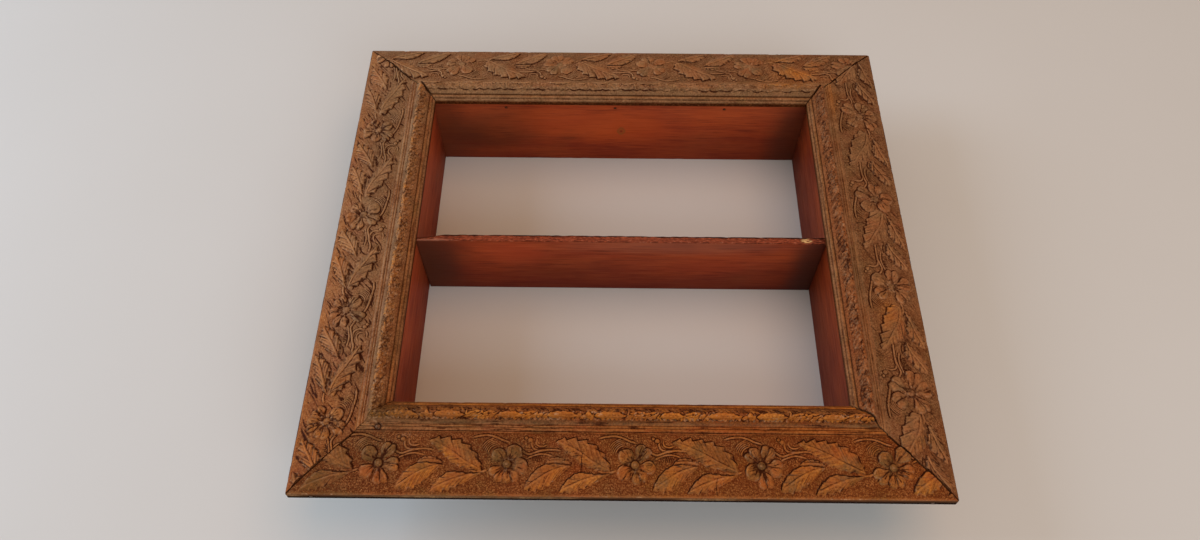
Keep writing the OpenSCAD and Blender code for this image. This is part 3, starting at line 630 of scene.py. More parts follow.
# ---------------------------------------------------------------- mesh building
def make_object(name, verts, faces, uvs=None, attrs=None, sharp=38.0):
    me = bpy.data.meshes.new(name)
    me.from_pydata([tuple(v) for v in verts.tolist()] if hasattr(verts, "tolist") else verts, [], faces)
    me.validate()
    me.update()
    for key, vals in (attrs or {}).items():
        a = me.attributes.new(key, "FLOAT", "POINT")
        a.data.foreach_set("value", np.asarray(vals, np.float32))
    if uvs is not None:
        layer = me.uv_layers.new(name="OFBake")
        layer.data.foreach_set("uv", np.asarray(uvs, np.float32).ravel())
    me.shade_smooth()
    me.set_sharp_from_angle(angle=math.radians(sharp))
    ob = bpy.data.objects.new(name, me)
    bpy.context.scene.collection.objects.link(ob)
    return ob


def strip_mesh(name, side, U, D, Z, NY, NZ, Hgt, under, attrs, folds):
    """A closed strip: displaced grid on top, the section's underside below, skirts round it.
    U, D, Z are the grid in mm (rows across, columns along); under is the lower line [(across, height)]."""
    rows, cols = U.shape
    T = [D + NY * Hgt, Z + NZ * Hgt]
    x, y, z = to_world(side, U, T[0], T[1])
    top = np.stack([x + 0 * T[0], y + 0 * T[0], z], -1).reshape(-1, 3)
    ub = []
    for d, h in under:
        inset = math.sqrt(2) * (0.2 + LEAN * (h - BACK))
        t = np.linspace(0, 1, cols)
        # the lower line keeps the upper grid's spacing, so that the skirts stay regular
        u = (d + inset) + t * (RUN[side] - 2 * (d + inset))
        bx, by, bz = to_world(side, u, np.full(cols, d), np.full(cols, h))
        ub.append(np.stack([bx + 0 * u, by + 0 * u, bz], -1))
    low = np.vstack(ub)
    verts = np.vstack([top, low]) * 0.001
    n0 = rows * cols
    nb = len(under)
    faces, uvs = [], []
    idx = np.arange(n0).reshape(rows, cols)
    q = np.stack([idx[:-1, :-1], idx[:-1, 1:], idx[1:, 1:], idx[1:, :-1]], -1)
    # folded map: the strip is cut into a few lengths, laid side by side
    per = int(math.ceil((cols - 1) / folds))
    jj = np.arange(cols - 1)
    fold = jj // per
    loc = jj - fold * per
    main = 0.93
    s = np.concatenate([[0], np.cumsum(np.hypot(np.diff(D.mean(1)), np.diff(Z.mean(1))))])
    s = s / s[-1]

    def uv(row, col_edge, f):
        return (col_edge / per) * 0.996 + 0.002, (f + 0.01 + 0.98 * row) / folds * main

    for i in range(rows - 1):
        v0, v1 = s[i], s[i + 1]
        for j in range(cols - 1):
            faces.append(tuple(int(k) for k in q[i, j]))
            f, l = fold[j], loc[j]
            a, b = l / per * 0.996 + 0.002, (l + 1) / per * 0.996 + 0.002
            c, e = (f + 0.01 + 0.98 * v0) / folds * main, (f + 0.01 + 0.98 * v1) / folds * main
            uvs += [(a, c), (b, c), (b, e), (a, e)]
    bot = n0 + np.arange(nb * cols).reshape(nb, cols)
    base = main + 0.005
    hgt = (1 - base - 0.005) / (nb + 3)
    for i in range(nb - 1):
        c, e = base + hgt * i, base + hgt * (i + 0.9)
        for j in range(cols - 1):
            faces.append((int(bot[i, j]), int(bot[i + 1, j]), int(bot[i + 1, j + 1]), int(bot[i, j + 1])))
            a, b = j / (cols - 1), (j + 1) / (cols - 1)
            uvs += [(a, c), (a, e), (b, e), (b, c)]
    c, e = base + hgt * (nb - 1), base + hgt * (nb - 0.1)
    for j in range(cols - 1):  # outer skirt
        faces.append((int(bot[0, j]), int(bot[0, j + 1]), int(idx[0, j + 1]), int(idx[0, j])))
        a, b = j / (cols - 1), (j + 1) / (cols - 1)
        uvs += [(a, c), (b, c), (b, e), (a, e)]
    c, e = base + hgt * nb, base + hgt * (nb + 0.9)
    for j in range(cols - 1):  # inner skirt
        faces.append((int(bot[-1, j + 1]), int(bot[-1, j]), int(idx[-1, j]), int(idx[-1, j + 1])))
        a, b = j / (cols - 1), (j + 1) / (cols - 1)
        uvs += [(b, c), (a, c), (a, e), (b, e)]
    c, e = base + hgt * (nb + 1), base + hgt * (nb + 1.9)
    for end, (col, x0) in enumerate(((0, 0.0), (cols - 1, 0.5))):  # the two mitred ends, in strips
        tcol, bcol = idx[:, col], bot[:, col]
        # each top vertex goes with the section point below it
        near = np.round(np.linspace(0, nb - 1, rows)).astype(int)
        near = np.array([int(np.argmin(np.abs(np.array([p[0] for p in under]) - D[i, col]))) for i in range(rows)])
        near[0], near[-1] = 0, nb - 1
        near = np.maximum.accumulate(near)
        for i in range(rows - 1):
            a, b = x0 + 0.49 * s[i], x0 + 0.49 * s[i + 1]
            t0, t1 = int(tcol[i]), int(tcol[i + 1])
            b0 = int(bcol[near[i]])
            tri = [(t0, t1, b0)] if col == 0 else [(t1, t0, b0)]
            uvt = [(a, e), (b, e), (a, c)] if col == 0 else [(b, e), (a, e), (a, c)]
            faces += tri
            uvs += uvt
            for m in range(near[i], near[i + 1]):
                b0, b1 = int(bcol[m]), int(bcol[m + 1])
                faces.append((t1, b1, b0) if col == 0 else (t1, b0, b1))
                uvs += [(b, e), (b, c), (a, c)] if col == 0 else [(b, e), (a, c), (b, c)]
    full = {k: np.concatenate([v.ravel(), np.full(nb * cols, fill)]) for k, (v, fill) in attrs.items()}
    return make_object(name, verts, faces, uvs, full, sharp=60.0)


def floral_band(side):
    rows, cols = 94, (938 if RUN[side] == W else 860)
    seed = SEED[side]
    run = RUN[side]
    d = np.linspace(0, 62.5, rows)
    z = np.interp(d, GROUND[:, 0], GROUND[:, 1]) + ZB
    z = blur(z[:, None] + np.zeros((1, 3)), (2.0, 0.5))[:, 1]
    z[0] = ZB - 1.6
    slope = np.gradient(z, d)
    ny, nz = -slope / np.hypot(slope, 1), 1 / np.hypot(slope, 1)
    D = np.repeat(d[:, None], cols, 1)
    Z = np.repeat(z[:, None], cols, 1)
    inset = math.sqrt(2) * (0.2 + LEAN * (Z[:, :1] + 0.8 - BACK))
    rag = [0.4 * np.abs(noise(D[:, :1], D[:, :1] * 0 + 9.0, 5.0, seed + e, 3)) ** 1.4 + 0.4 * smooth(noise(D[:, :1], D[:, :1] * 0 + 3.0, 9.0, seed + 5 + e), 0.45, 0.8) for e in (0, 1)]
    uL = D[:, :1] + inset + rag[0]
    uR = run - D[:, :1] - inset - rag[1]
    t = np.linspace(0, 1, cols)[None, :]
    U = uL + t * (uR - uL)
    rel = Relief(U, D, seed)
    rel.turn, rel.rims, rel.edge, rel.flame = {"bottom": (0.0, 0.4, 1.0, 0.0), "left": (0.8, 1.05, 0.5, 1.0), "right": (0.7, 0.7, 0.6, 0.5), "top": (0.35, 0.5, 0.85, 0.2)}[side]
    for i, (c, bend) in enumerate(CENTRES[side]):
        motif(rel, c, seed + i, bend, side)
    for line in CRACKS[side]:
        rel.scratch(line, 0.45, 0.6, 1.0, only_ground=False)
    ground = 1 - np.clip(rel.on, 0, 1)
    # matted ground: close-set grains with dirt between them
    f1, f2 = grains(U + 0.5 * noise(U, D, 6.0, seed + 2), D, 1.75, seed + 31)
    gap = 1 - smooth(f2 - f1, 0.04, 0.42)
    gap = gap * (0.72 + 0.4 * noise(U, D, 14.0, seed + 3))
    pits = gap * ground * smooth(D, 1.2, 3.0)
    hgt = rel.h - rel.cut * smooth(D, 0.5, 3.0) - 0.32 * pits
    hgt += 0.16 * noise(U, D, 38.0, seed + 4, 2) + 0.06 * noise(U, D, 2.4, seed + 6, 2)
    # fine flowing lines fill the ground of the stiles and the far rail
    bendy = U * 0.82 + D * 0.57 + 5.0 * noise(U, D, 30.0, seed + 41)
    cross = D * 0.82 - U * 0.57 + 4.0 * noise(U, D, 24.0, seed + 42)
    flow = noise(bendy / 7.0, cross, 1.9, seed + 43, 2)
    flow_amt = {"bottom": 0.12, "left": 1.0, "right": 0.65, "top": 0.55}[side] * ground * smooth(D, 2.0, 6.0)
    hgt += 0.28 * flow * flow_amt
    # the raised parts are rubbed down in places
    rub = smooth(noise(U, D, 46.0, seed + 8, 2), -0.2, 0.7)
    hgt = np.where(hgt > 1.3, 1.3 + (hgt - 1.3) * (1 - 0.35 * rub), hgt)
    # worn outer arris, knocked edge, and worn mitre ends
    edge = smooth(D, 0.0, 2.2)
    chip = smooth(noise(U, D * 0, 11.0, seed + 9, 3), 0.28, 0.6)
    hgt = hgt * edge - (1 - edge) * (0.35 + 0.9 * chip * smooth(-D, -2.0, 0.0))
    fromend = np.minimum(U - uL, uR - U)
    hgt -= 0.22 * np.exp(-(fromend / 0.6) ** 2) * (0.6 + 0.6 * noise(U, D, 5.0, seed + 10))
    # dirt and painted shade sit in what is low, wear and painted highlight on what is high; creases darken more where
    # the surface falls towards the sight edge, which is painted shade too
    sy, sx_ = rows / 62.5, cols / (run - 62.5)
    fine = blur(hgt, (1.0 * sy, 1.0 * sx_)) - hgt
    wide = blur(hgt, (4.0 * sy, 4.0 * sx_)) - hgt
    fall = np.gradient(blur(hgt, (0.8 * sy, 0.8 * sx_)), axis=0) * sy
    face = smooth(-fall, 0.05, 0.5)
    dirt_and_shade = 1.05 * rel.dirt_and_shade * (0.78 + 0.5 * noise(U, D, 9.0, seed + 12, 2)) + np.clip(fine * 2.0, 0, 0.8) * (0.10 + 0.9 * face)
    dirt_and_shade = np.clip(dirt_and_shade + np.clip(wide * 0.25, 0, 0.3) * 0.4 + {"bottom": 0.26, "left": 0.16, "right": 0.34, "top": 0.14}[side] * np.clip(pits, 0, 1), 0, 1)
    dirt_and_shade = np.clip(np.maximum(dirt_and_shade, smooth(-flow, 0.12, 0.55) * 0.75 * flow_amt), 0, 1)
    kept = {"bottom": smooth(U / run, 0.3, 0.4), "left": 1 - smooth(U / run, 0.6, 0.7)}.get(side, 1.0)
    dirt_and_shade = np.maximum(dirt_and_shade, (0.7 + 0.2 * kept) * np.exp(-(fromend / (0.3 + 0.15 * kept)) ** 2) * np.clip(0.85 + 0.8 * noise(U, D, 7.0, seed + 67), 0.25, 1))
    if side == "right":
        dirt_and_shade = np.clip(dirt_and_shade + 0.08 * smooth(D, 4, 10) * (1 - smooth(D, 28, 36)), 0, 1)
    if side == "left":
        dirt_and_shade = np.clip(dirt_and_shade + 0.1 * smooth(U / run, 0.5, 0.8), 0, 1)
    high = -wide * 0.32 - fine * 2.3 + 0.04 * rel.on + 0.08 * rel.tone * rel.on
    high = np.clip(high + {"top": 0.3 * smooth(U / W, 0.5, 0.9), "bottom": 0.3 * smooth(D, 46, 54)}.get(side, 0.0), 0, 1)
    tan = tan_amount(side, U, D, seed)
    gold = np.clip(spots(GOLD[side], U, D) * (0.6 + 0.5 * noise(U, D, 16.0, seed + 13, 2)), 0, 1)
    grime = np.clip(spots(GRIME[side], U, D) * (0.8 + 0.5 * noise(U, D, 12.0, seed + 14, 2)), 0, 1)
    grime = np.clip(np.maximum(grime, rel.soil * {"bottom": 1.0, "left": 0.7, "right": 0.7, "top": 0.5}[side]) + {"right": 0.3}.get(side, 0.0) * (1 - 0.6 * rel.on), 0, 1)
    pale_chips_and_highlight = np.clip((1 - smooth(D, 0.2, 1.1)) * (0.25 + 0.75 * chip), 0, 1)
    if side != "bottom":
        # a thin dark line along the outer arris of the far rail and stiles, with fewer chips on it
        dark_outer_arris = (1 - smooth(D, 0.7, 1.7)) * np.clip(0.75 + 0.7 * noise(U, U * 0, 14.0, seed + 71, 2), 0.25, 1)
        dirt_and_shade = np.maximum(dirt_and_shade, 0.72 * dark_outer_arris)
        pale_chips_and_highlight = pale_chips_and_highlight * (1 - 0.75 * dark_outer_arris)
    # the pale rims, partly worn gilt and partly painted highlight, join the chips
    pale_chips_and_highlight = np.maximum(pale_chips_and_highlight, np.clip(rel.pale, 0, 1) * {"bottom": 0.62, "left": 0.62}.get(side, 0.58))
    pale_chips_and_highlight = np.maximum(pale_chips_and_highlight, spots(PALE[side], U, D) * smooth(noise(U, D, 2.8, seed + 66, 2), -0.15, 0.3))
    hue = np.where(rel.on > 0.3, rel.hue, 0.9 * noise(U, D, 24.0, seed + 18, 3))
    if side == "left":
        hue = hue * 0.7 + 0.35 * (1 - smooth(D, 10, 30)) - 0.3 * smooth(D, 26, 42) * (1 - smooth(U, 0.72 * run, 0.95 * run))
    if side == "right":
        hue = hue * 0.8 + 0.08 * (1 - smooth(D, 40, 58)) - 0.3 * smooth(D, 44, 60)
    if side == "top":
        hue = hue * 1.5 - 0.15 + 0.3 * np.exp(-((U - 420) / 160) ** 2)
    if side == "bottom":
        hue = hue - 1.3 * spots(GRIME[side], U, D)
    warm, cool = np.clip(hue, 0, 1), np.clip(-hue, 0, 1)
    # the bright parts of leaves and petals go into the gilt: partly worn gilt, partly painted highlight
    gold = gold + rel.bright * {"bottom": 0.74, "right": 0.36, "left": 0.34, "top": 0.22}[side] * (0.6 + 0.8 * noise(U, D, 40.0, seed + 15, 2))
    gold = np.clip(gold * (1 - {"bottom": 0.35, "right": 0.5, "left": 0.12}.get(side, 0.0) * np.exp(-((D - 17) / 10.0) ** 2)), 0, 1)
    if side == "left":
        rim = (1 - smooth(D, 3, 20)) * np.clip(0.45 + 0.8 * noise(U, D, 26.0, seed + 17, 2), 0, 1)
        gold = np.maximum(gold, 0.66 * rim * (0.55 + 0.6 * smooth(flow, -0.2, 0.4))) * smooth(D, 0.6, 1.8)
    under = [(p[0], p[1] + ZB - 1.4) for p in GROUND]
    ob = strip_mesh("floral_relief_" + side, side, U, D, Z, ny[:, None], nz[:, None], hgt, under,
                    {"dirt_and_shade": (dirt_and_shade, 0.6), "high": (high, 0.0), "gold": (gold, 0.0), "grime": (grime, 0.3), "chip": (pale_chips_and_highlight, 0.0), "ground": (ground * smooth(D, 1.0, 3.0) * {"left": 0.5, "right": 0.65}.get(side, 1.0), 0.0), "tan": (tan, 0.2), "warm": (warm, 0.0), "cool": (cool, 0.0)}, 3)
    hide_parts("floral_band_" + side)
    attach(ob, "root")
    return ob


# ---------------------------------------------------------------- the leafy bead
BEAD_PHASE = {"bottom": 95.0, "right": 30.0, "top": 70.0, "left": 120.0}


def bead_motif(rel, c, seed):
    """One repeat of the bead's chain, 166 mm long, over (u, distance round the bead)."""
    rng = np.random.default_rng(700 + seed)

    def long_leaf(x0, x1, mid, half, k):
        n = x1 - x0
        up = [(x0, mid), (x0 + 0.12 * n, mid + 0.7 * half[1]), (x0 + 0.4 * n, mid + half[1]), (x0 + 0.75 * n, mid + 0.85 * half[1]), (x1, mid + 0.2)]
        dn = [(x0, mid), (x0 + 0.12 * n, mid - 0.72 * half[0]), (x0 + 0.42 * n, mid - half[0]), (x0 + 0.78 * n, mid - 0.86 * half[0]), (x1, mid + 0.2)]
        leaf(rel, up, dn, [(x0 + 0.8, mid), (x0 + 0.3 * n, mid + 0.5), (x0 + 0.7 * n, mid - 0.2), (x1 - 0.6, mid + 0.1)], 7.6, 0.9, 0.6, 1.3, 5.6, 0.6, (8.2, 0.8), 1.2, k, 0.3, 1.1, 0.9, 0.9, 0.35)

    def diamond(x, k):
        p = np.array([(x, -0.2), (x + 2.6, 2.4), (x + 4.4, 5.4), (x + 2.2, 8.6), (x, 12.0), (x - 2.2, 8.6), (x - 4.4, 5.4), (x - 2.6, 2.4)])

        def height(sd, xx, yy):
            return 0.5 + 0.55 * (1 - np.exp(-sd / 1.5)) + 0.25 * np.exp(-(np.abs(xx - x) / 0.5) ** 2)
        rel.shape(p, height, tone=0.6, groove=0.4, upper=0.9, lower=0.6, rise=0.7)

    def rosette(x, mid, k):
        # a cluster of slanting leaflets, each curved and pointed
        for a, (ox, oy, ln, th) in enumerate(((-5.2, -1.4, 5.0, 0.75), (0.2, -1.8, 5.6, 0.95), (-2.4, 2.4, 5.2, 0.35), (4.6, 0.6, 5.4, 0.6), (3.2, 3.4, 4.0, 0.1))):
            th = th + rng.uniform(-0.25, 0.25)
            t = np.linspace(0, 2 * np.pi, 20, endpoint=False)
            ex = ln * np.cos(t)
            ey = 1.9 * np.sin(t) * (1 - 0.45 * np.cos(t)) + 0.05 * ex ** 2
            p = np.stack([x + ox + ex * math.cos(th) - ey * math.sin(th), mid + oy + 0.85 * (ex * math.sin(th) + ey * math.cos(th))], 1)
            rel.shape(p, lambda sd, xx, yy: 0.45 + 0.5 * (1 - np.exp(-sd / 0.9)), tone=0.4, groove=0.3, upper=0.8, lower=0.45, rise=0.6)

    def fill(span):
        # leaflets that close the gaps between the larger forms
        for x in np.arange(span[0], span[1] + 0.1, 6.2):
            t = np.linspace(0, 2 * np.pi, 18, endpoint=False)
            q = np.stack([x + rng.uniform(-0.7, 0.7) + 3.6 * np.cos(t) + 1.4 * np.sin(t), 3.6 + rng.uniform(-0.6, 1.2) + 3.6 * np.sin(t)], 1)
            rel.shape(q, lambda sd, xx, yy: 0.4 + 0.45 * (1 - np.exp(-sd / 1.0)), tone=0.35, groove=0.25, upper=0.6, lower=0.4, rise=0.6)

    j = lambda: rng.uniform(-0.8, 0.8)
    fill((c + 31, c + 39))
    fill((c + 45, c + 49))
    fill((c + 84, c + 116))
    fill((c + 140, c + 165))
    long_leaf(c - 1 + j(), c + 33 + j(), 4.9, (4.9, 5.2), seed % 3)
    diamond(c + 42, seed)
    long_leaf(c + 48 + j(), c + 82 + j(), 4.8, (4.8, 5.4), (seed + 1) % 3)
    rel.strand([(c + 82.5, 6), (c + 83.5, 10), (c + 83, 15)], 0.8, 0.7, 0.5, fade=False)
    rosette(c + 92, 5.6, seed)
    rosette(c + 106, 5.2, seed + 1)
    long_leaf(c + 115 + j(), c + 141 + j(), 4.7, (4.7, 5.0), (seed + 2) % 3)
    rosette(c + 149, 5.4, seed + 2)
    for bx, by in ((99, 8.6), (156.5, 3.2)):
        bud(rel, c + bx, by, 1.4, 0.5)


def leaf_bead(side):
    seed = SEED[side] + 500
    run = RUN[side]
    line = curve(BEAD, 0.25)
    seg = np.linalg.norm(np.diff(line, axis=0), axis=1)
    arc = np.concatenate([[0], np.cumsum(seg)])
    rows, cols = 46, (980 if run == W else 870)
    a = np.linspace(0, arc[-1], rows)
    d, z = np.interp(a, arc, line[:, 0]), np.interp(a, arc, line[:, 1]) + ZB - 0.7 * smooth(a, 1.5, 5.0) * (1 - smooth(a, arc[-1] - 5.0, arc[-1] - 1.5))
    td, tz = np.gradient(d), np.gradient(z)
    ln = np.hypot(td, tz)
    ny, nz = -tz / ln, td / ln
    D, Z, A = (np.repeat(v[:, None], cols, 1) for v in (d, z, a))
    inset = math.sqrt(2) * (0.2 + LEAN * (Z[:, :1] - BACK))
    rag = [0.2 * np.abs(noise(A[:, :1], A[:, :1] * 0 + 9.0, 4.0, seed + e, 2)) for e in (0, 1)]
    # at the near left corner old dirt fills the mitre up
    shutL, shutR = (0.08 if side == "bottom" else 1.0), (0.08 if side == "left" else 1.0)
    uL, uR = D[:, :1] + shutL * (inset + rag[0]), run - D[:, :1] - shutR * (inset + rag[1])
    U = uL + np.linspace(0, 1, cols)[None, :] * (uR - uL)
    rel = Relief(U, A, seed)
    c, k = BEAD_PHASE[side] - 166 * 2, 0
    while c < run:
        if c > -170:
            bead_motif(rel, c, seed + k)
        c += 166
        k += 1
    # slanting strokes of small leaf tips down the inner slope, between and beyond the leaves
    lean = {"bottom": 0.35, "top": 0.5}.get(side, 0.75)
    q = (U + (A - 9) * lean + 3.2 * noise(U, A, 12.0, seed + 3)) / 4.7
    ripple = 1.6 * np.cos(q * 2 * np.pi) + 2.0 * noise(U, A * 0, 5.0, seed + 23)
    away = smooth(A, 7.8 + ripple, 9.6 + ripple)
    lean_on = U + (A - 9) * lean
    stroke = 0.5 + 0.55 * noise(lean_on, A * 0.30, 2.3, seed + 24, 2) + 0.35 * noise(lean_on, A * 0.6, 1.2, seed + 25)
    dash = np.exp(-((q % 1.0 - 0.5) / 0.15) ** 2) * smooth(noise(U, A, 6.5, seed + 26, 2), -0.30, 0.20)
    # on the other three sides the pressing is finer and more broken
    worm = 1 - smooth(np.abs(noise(lean_on, A, 3.4, seed + 28, 2)), 0.02, 0.16)
    curl = 1 - smooth(np.abs(noise(lean_on + 40, A, 2.9, seed + 29, 2)), 0.02, 0.14)
    if side != "bottom":
        dash = np.clip(0.45 * dash + 0.9 * worm * smooth(noise(U, A, 14.0, seed + 30, 2), -0.5, 0.3), 0, 1)
    stroke = np.clip(stroke - 0.55 * dash, 0, 1)
    tips = away * (1 - smooth(A, 19.2 + 0.8 * np.sin(q * 2 * np.pi), 20.6)) * (1 - rel.on)
    hgt = rel.h + 0.7 * (stroke - 0.3) * tips
    base = 0.25 * (1 - rel.on) * smooth(A, 0.0, 1.5) * (1 - away)
    hgt = hgt - rel.cut - base
    hgt += 0.10 * noise(U, A, 30.0, seed + 4, 2) + 0.09 * noise(U, A, 2.2, seed + 6, 2)
    rub = smooth(noise(U, A, 40.0, seed + 8, 2), -0.1, 0.6)
    hgt = np.where(hgt > 0.7, 0.7 + (hgt - 0.7) * (1 - 0.3 * rub), hgt)
    # foot of the leaves: a scalloped lip over the cove
    sc = np.abs(np.sin(np.pi * (U + 1.6 * noise(U, U * 0, 13.0, seed + 21)) / 5.0)) ** 0.7
    foot = 1 - smooth(A, 0.0, 2.6)
    lobed = {"left": 0.45, "right": 0.75}.get(side, 1.0)
    D = D - foot * (1.5 * sc * lobed - 0.35)
    Z = Z - foot * (0.9 * sc * lobed - 0.2)
    hgt += 0.35 * lobed ** 2 * np.exp(-((A - 0.6) / 0.9) ** 2) * sc
    fromend = np.minimum(U - uL, uR - U)
    ends = np.minimum((U - uL) / shutL, (uR - U) / shutR)
    hgt -= 0.2 * np.exp(-(ends / 0.7) ** 2)
    fouled = np.exp(-(((U - uL) if side == "bottom" else (uR - U)) / 22.0) ** 2) * (side in ("bottom", "left"))
    hgt += 0.55 * fouled * smooth(noise(U, A, 2.1, seed + 32, 2), 0.0, 0.6)
    # the crest stays below the top of the CAD section
    cap = (ZB + 24.0 - Z) / np.maximum(nz[:, None], 0.25)
    hgt = np.where(nz[:, None] > 0.25, np.minimum(hgt, np.maximum(cap, 0) - 0.02), hgt)
    sy, sx_ = rows / arc[-1], cols / (run - 170)
    fine = blur(hgt, (0.9 * sy, 0.9 * sx_)) - hgt
    wide = blur(hgt, (3.0 * sy, 3.0 * sx_)) - hgt
    soft = {"bottom": 0.85, "left": 0.34, "right": 0.34, "top": 0.26}[side]
    dirt_and_shade = np.clip(0.9 * soft * rel.dirt_and_shade * (0.7 + 0.5 * noise(U, A, 8.0, seed + 12, 2)) + np.clip(fine * 1.8 * (0.4 + soft), 0, 0.7) + tips * smooth(1 - stroke, 0.5, 0.95) * {"bottom": 0.58, "left": 0.3, "right": 0.34, "top": 0.2}[side], 0, 1)
    knobs = np.zeros(U.shape)
    if side != "bottom":
        k1, l1, d1 = lobes(U, A * 1.1, 6.4, seed + 44, {"left": (-0.6, -0.8), "right": (-0.8, -0.5), "top": (0.3, -0.95)}[side])
        k2, l2, d2 = lobes(U, A, 3.3, seed + 45, {"left": (-0.6, -0.8), "right": (-0.8, -0.5), "top": (0.3, -0.95)}[side])
        mixed = smooth(noise(U, A, 12.0, seed + 46, 2), -0.25, 0.35)
        band_on = {"left": smooth(A, 1.5, 4.0) * (1 - smooth(A, 17.5, 19.5)), "right": smooth(A, 2.0, 5.0) * (1 - smooth(A, 18.5, 20.0)), "top": 0.35 + 0.65 * smooth(A, 9.0, 12.0) * (1 - smooth(A, 17.5, 19.0))}[side]
        knobs = (k1 * mixed + k2 * (1 - mixed)) * band_on
        shine = (l1 * mixed + l2 * (1 - mixed)) * band_on
        gloom = (d1 * mixed + d2 * (1 - mixed)) * band_on
        hgt = hgt + {"left": 0.5, "right": 0.4, "top": 0.3}[side] * (knobs - 0.5 * band_on) - 0.25 * gloom
        # the lobes' rims on the side away from the lean direction are darkened: painted shade
        dirt_and_shade = np.maximum(dirt_and_shade, {"left": 0.85, "right": 0.8, "top": 0.6}[side] * gloom * np.clip(0.75 + 0.6 * noise(U, A, 17.0, seed + 47, 2), 0, 1))
    if side != "bottom":
        zone = {"left": smooth(A, 1.0, 4.0) * (1 - smooth(A, 15.0, 19.0)), "right": smooth(A, 5.0, 9.0), "top": 0.3 + 0.7 * np.exp(-((A - 15.5) / 2.4) ** 2)}[side]
        dirt_and_shade = np.maximum(dirt_and_shade, zone * {"left": 0.42, "right": 0.5, "top": 0.6}[side] * worm * smooth(noise(U, A, 11.0, seed + 31, 2), -0.4, 0.35))
        dots = smooth(noise(U, A, 1.9, seed + 34, 2), 0.15, 0.5)
        dirt_and_shade = np.maximum(dirt_and_shade, {"left": 0.62, "right": 0.85, "top": 0.45}[side] * dots * smooth(A, 3.0, 7.0) * (1 - smooth(A, 18.5, 20.5)) * np.clip(0.55 + 0.8 * noise(U, A, 9.0, seed + 36, 2), 0, 1))
        # a scalloped dark line where the leaf tips end on the inner slope
        at = {"left": 18.0, "right": 18.2, "top": 15.4}[side] + 0.9 * np.abs(np.sin(np.pi * (U + 2.0 * noise(U, U * 0, 9.0, seed + 37)) / 7.3)) + 0.9 * noise(U, U * 0, 15.0, seed + 38, 2)
        rim = np.exp(-((A - at) / {"top": 0.75}.get(side, 0.5)) ** 2) * np.clip(0.55 + 1.1 * noise(U, U * 0, 12.0, seed + 39, 2), 0, 1)
        if side == "top":
            at = 16.6 + 1.2 * np.abs(np.sin(np.pi * (U + 3.0 * noise(U, U * 0, 11.0, seed + 37)) / 13.0)) + 1.3 * noise(U, U * 0, 8.0, seed + 38, 2)
            rim = np.exp(-((A - at) / 1.15) ** 2) * np.clip(1.0 + 0.8 * noise(U, U * 0, 9.0, seed + 39, 2), 0.3, 1)
        dirt_and_shade = np.maximum(dirt_and_shade, {"left": 0.6, "right": 0.75, "top": 1.0}[side] * rim)
        hgt = hgt - 0.3 * rim
    else:
        dirt_and_shade = np.maximum(dirt_and_shade, 0.3 * (1 - rel.on) * smooth(A, 1.5, 3.0) * (1 - smooth(A, 9.0, 12.0)))
    hgt = np.where(nz[:, None] > 0.25, np.minimum(hgt, np.maximum(cap, 0) - 0.02), hgt)
    if side == "left":
        dirt_and_shade = np.clip(dirt_and_shade + 0.22 * (1 - smooth(A, 4.5, 8.0)), 0, 1)
    if side == "right":
        dirt_and_shade = np.clip(dirt_and_shade + 0.12, 0, 1)
    # a dark line at the foot of the bead under the scalloped lip: dirt and painted shadow
    if side != "top":
        dirt_and_shade = np.maximum(dirt_and_shade, {"bottom": 0.75, "left": 0.5}.get(side, 0.8) * (1 - smooth(A, 1.2, {"bottom": 3.2}.get(side, 4.2))) * smooth(noise(U, A, 3.4, seed + 50, 2), -0.15, 0.3))
    dirt_and_shade = np.maximum(dirt_and_shade, 0.8 * np.exp(-(ends / 0.3) ** 2) * (1 - 0.8 * fouled))
    dirt_and_shade = np.maximum(dirt_and_shade * (1 - 0.4 * fouled), 0.7 * fouled * smooth(noise(U, A, 1.9, seed + 33, 2), 0.1, 0.5))
    dirt_and_shade = np.maximum(dirt_and_shade, smooth(A, arc[-1] - (1.6 if side == "bottom" else 1.0), arc[-1] - 0.2) * {"bottom": 0.8}.get(side, 0.5))
    broad = noise(lean_on, A * {"bottom": 0.45, "top": 0.45}.get(side, 0.7), {"bottom": 5.0, "top": 6.0}.get(side, 3.1), seed + 51, 2)
    down = smooth(A, {"bottom": 9.0, "top": 5.0}.get(side, 4.0), {"bottom": 11.5, "top": 9.0}.get(side, 7.0)) * (1 - smooth(A, arc[-1] - 3.5, arc[-1] - 1.5))
    pale_on = smooth(broad, 0.02, 0.34) * down
    dark_on = smooth(-broad, 0.04, 0.36) * down
    dirt_and_shade = np.maximum(dirt_and_shade * (1 - 0.45 * pale_on), {"bottom": 0.66, "left": 0.6, "right": 0.68, "top": 0.3}[side] * dark_on * np.clip(0.8 + 0.6 * noise(U, A, 13.0, seed + 52, 2), 0, 1))
    hgt_on = {"bottom": 0.25, "top": 0.1}.get(side, 0.2) * (pale_on - dark_on)
    hgt = hgt + np.where(nz[:, None] > 0.25, np.minimum(hgt_on, np.maximum(cap, 0) - 0.02 - hgt), hgt_on)
    high = -wide * 0.6 - fine * 1.0 + 0.05 * rel.on + 0.1 * rel.tone * rel.on
    high = np.clip(high + {"bottom": 0.6, "left": 0.6, "right": 0.1, "top": 0.3}[side] * pale_on + (0.5 * smooth(U / W, 0.5, 0.85) if side == "top" else 0.0), 0, 1)
    if side == "left":
        high = high * smooth(A, 1.0, 4.0)
    outer = 1 - smooth(A, 8.0, 11.0)
    tan = np.clip(tan_amount(side, U, 75.4 + 0.72 * A, seed) + {"left": 0.14 * smooth(A, 4, 7) - 0.1 * (1 - smooth(A, 4, 7)), "right": -0.1 - 0.15 * (1 - U / H)}.get(side, 0.0), 0, 1)
    patch = smooth(noise(U, A, 50.0, seed + 13, 2), -0.2, 0.6)
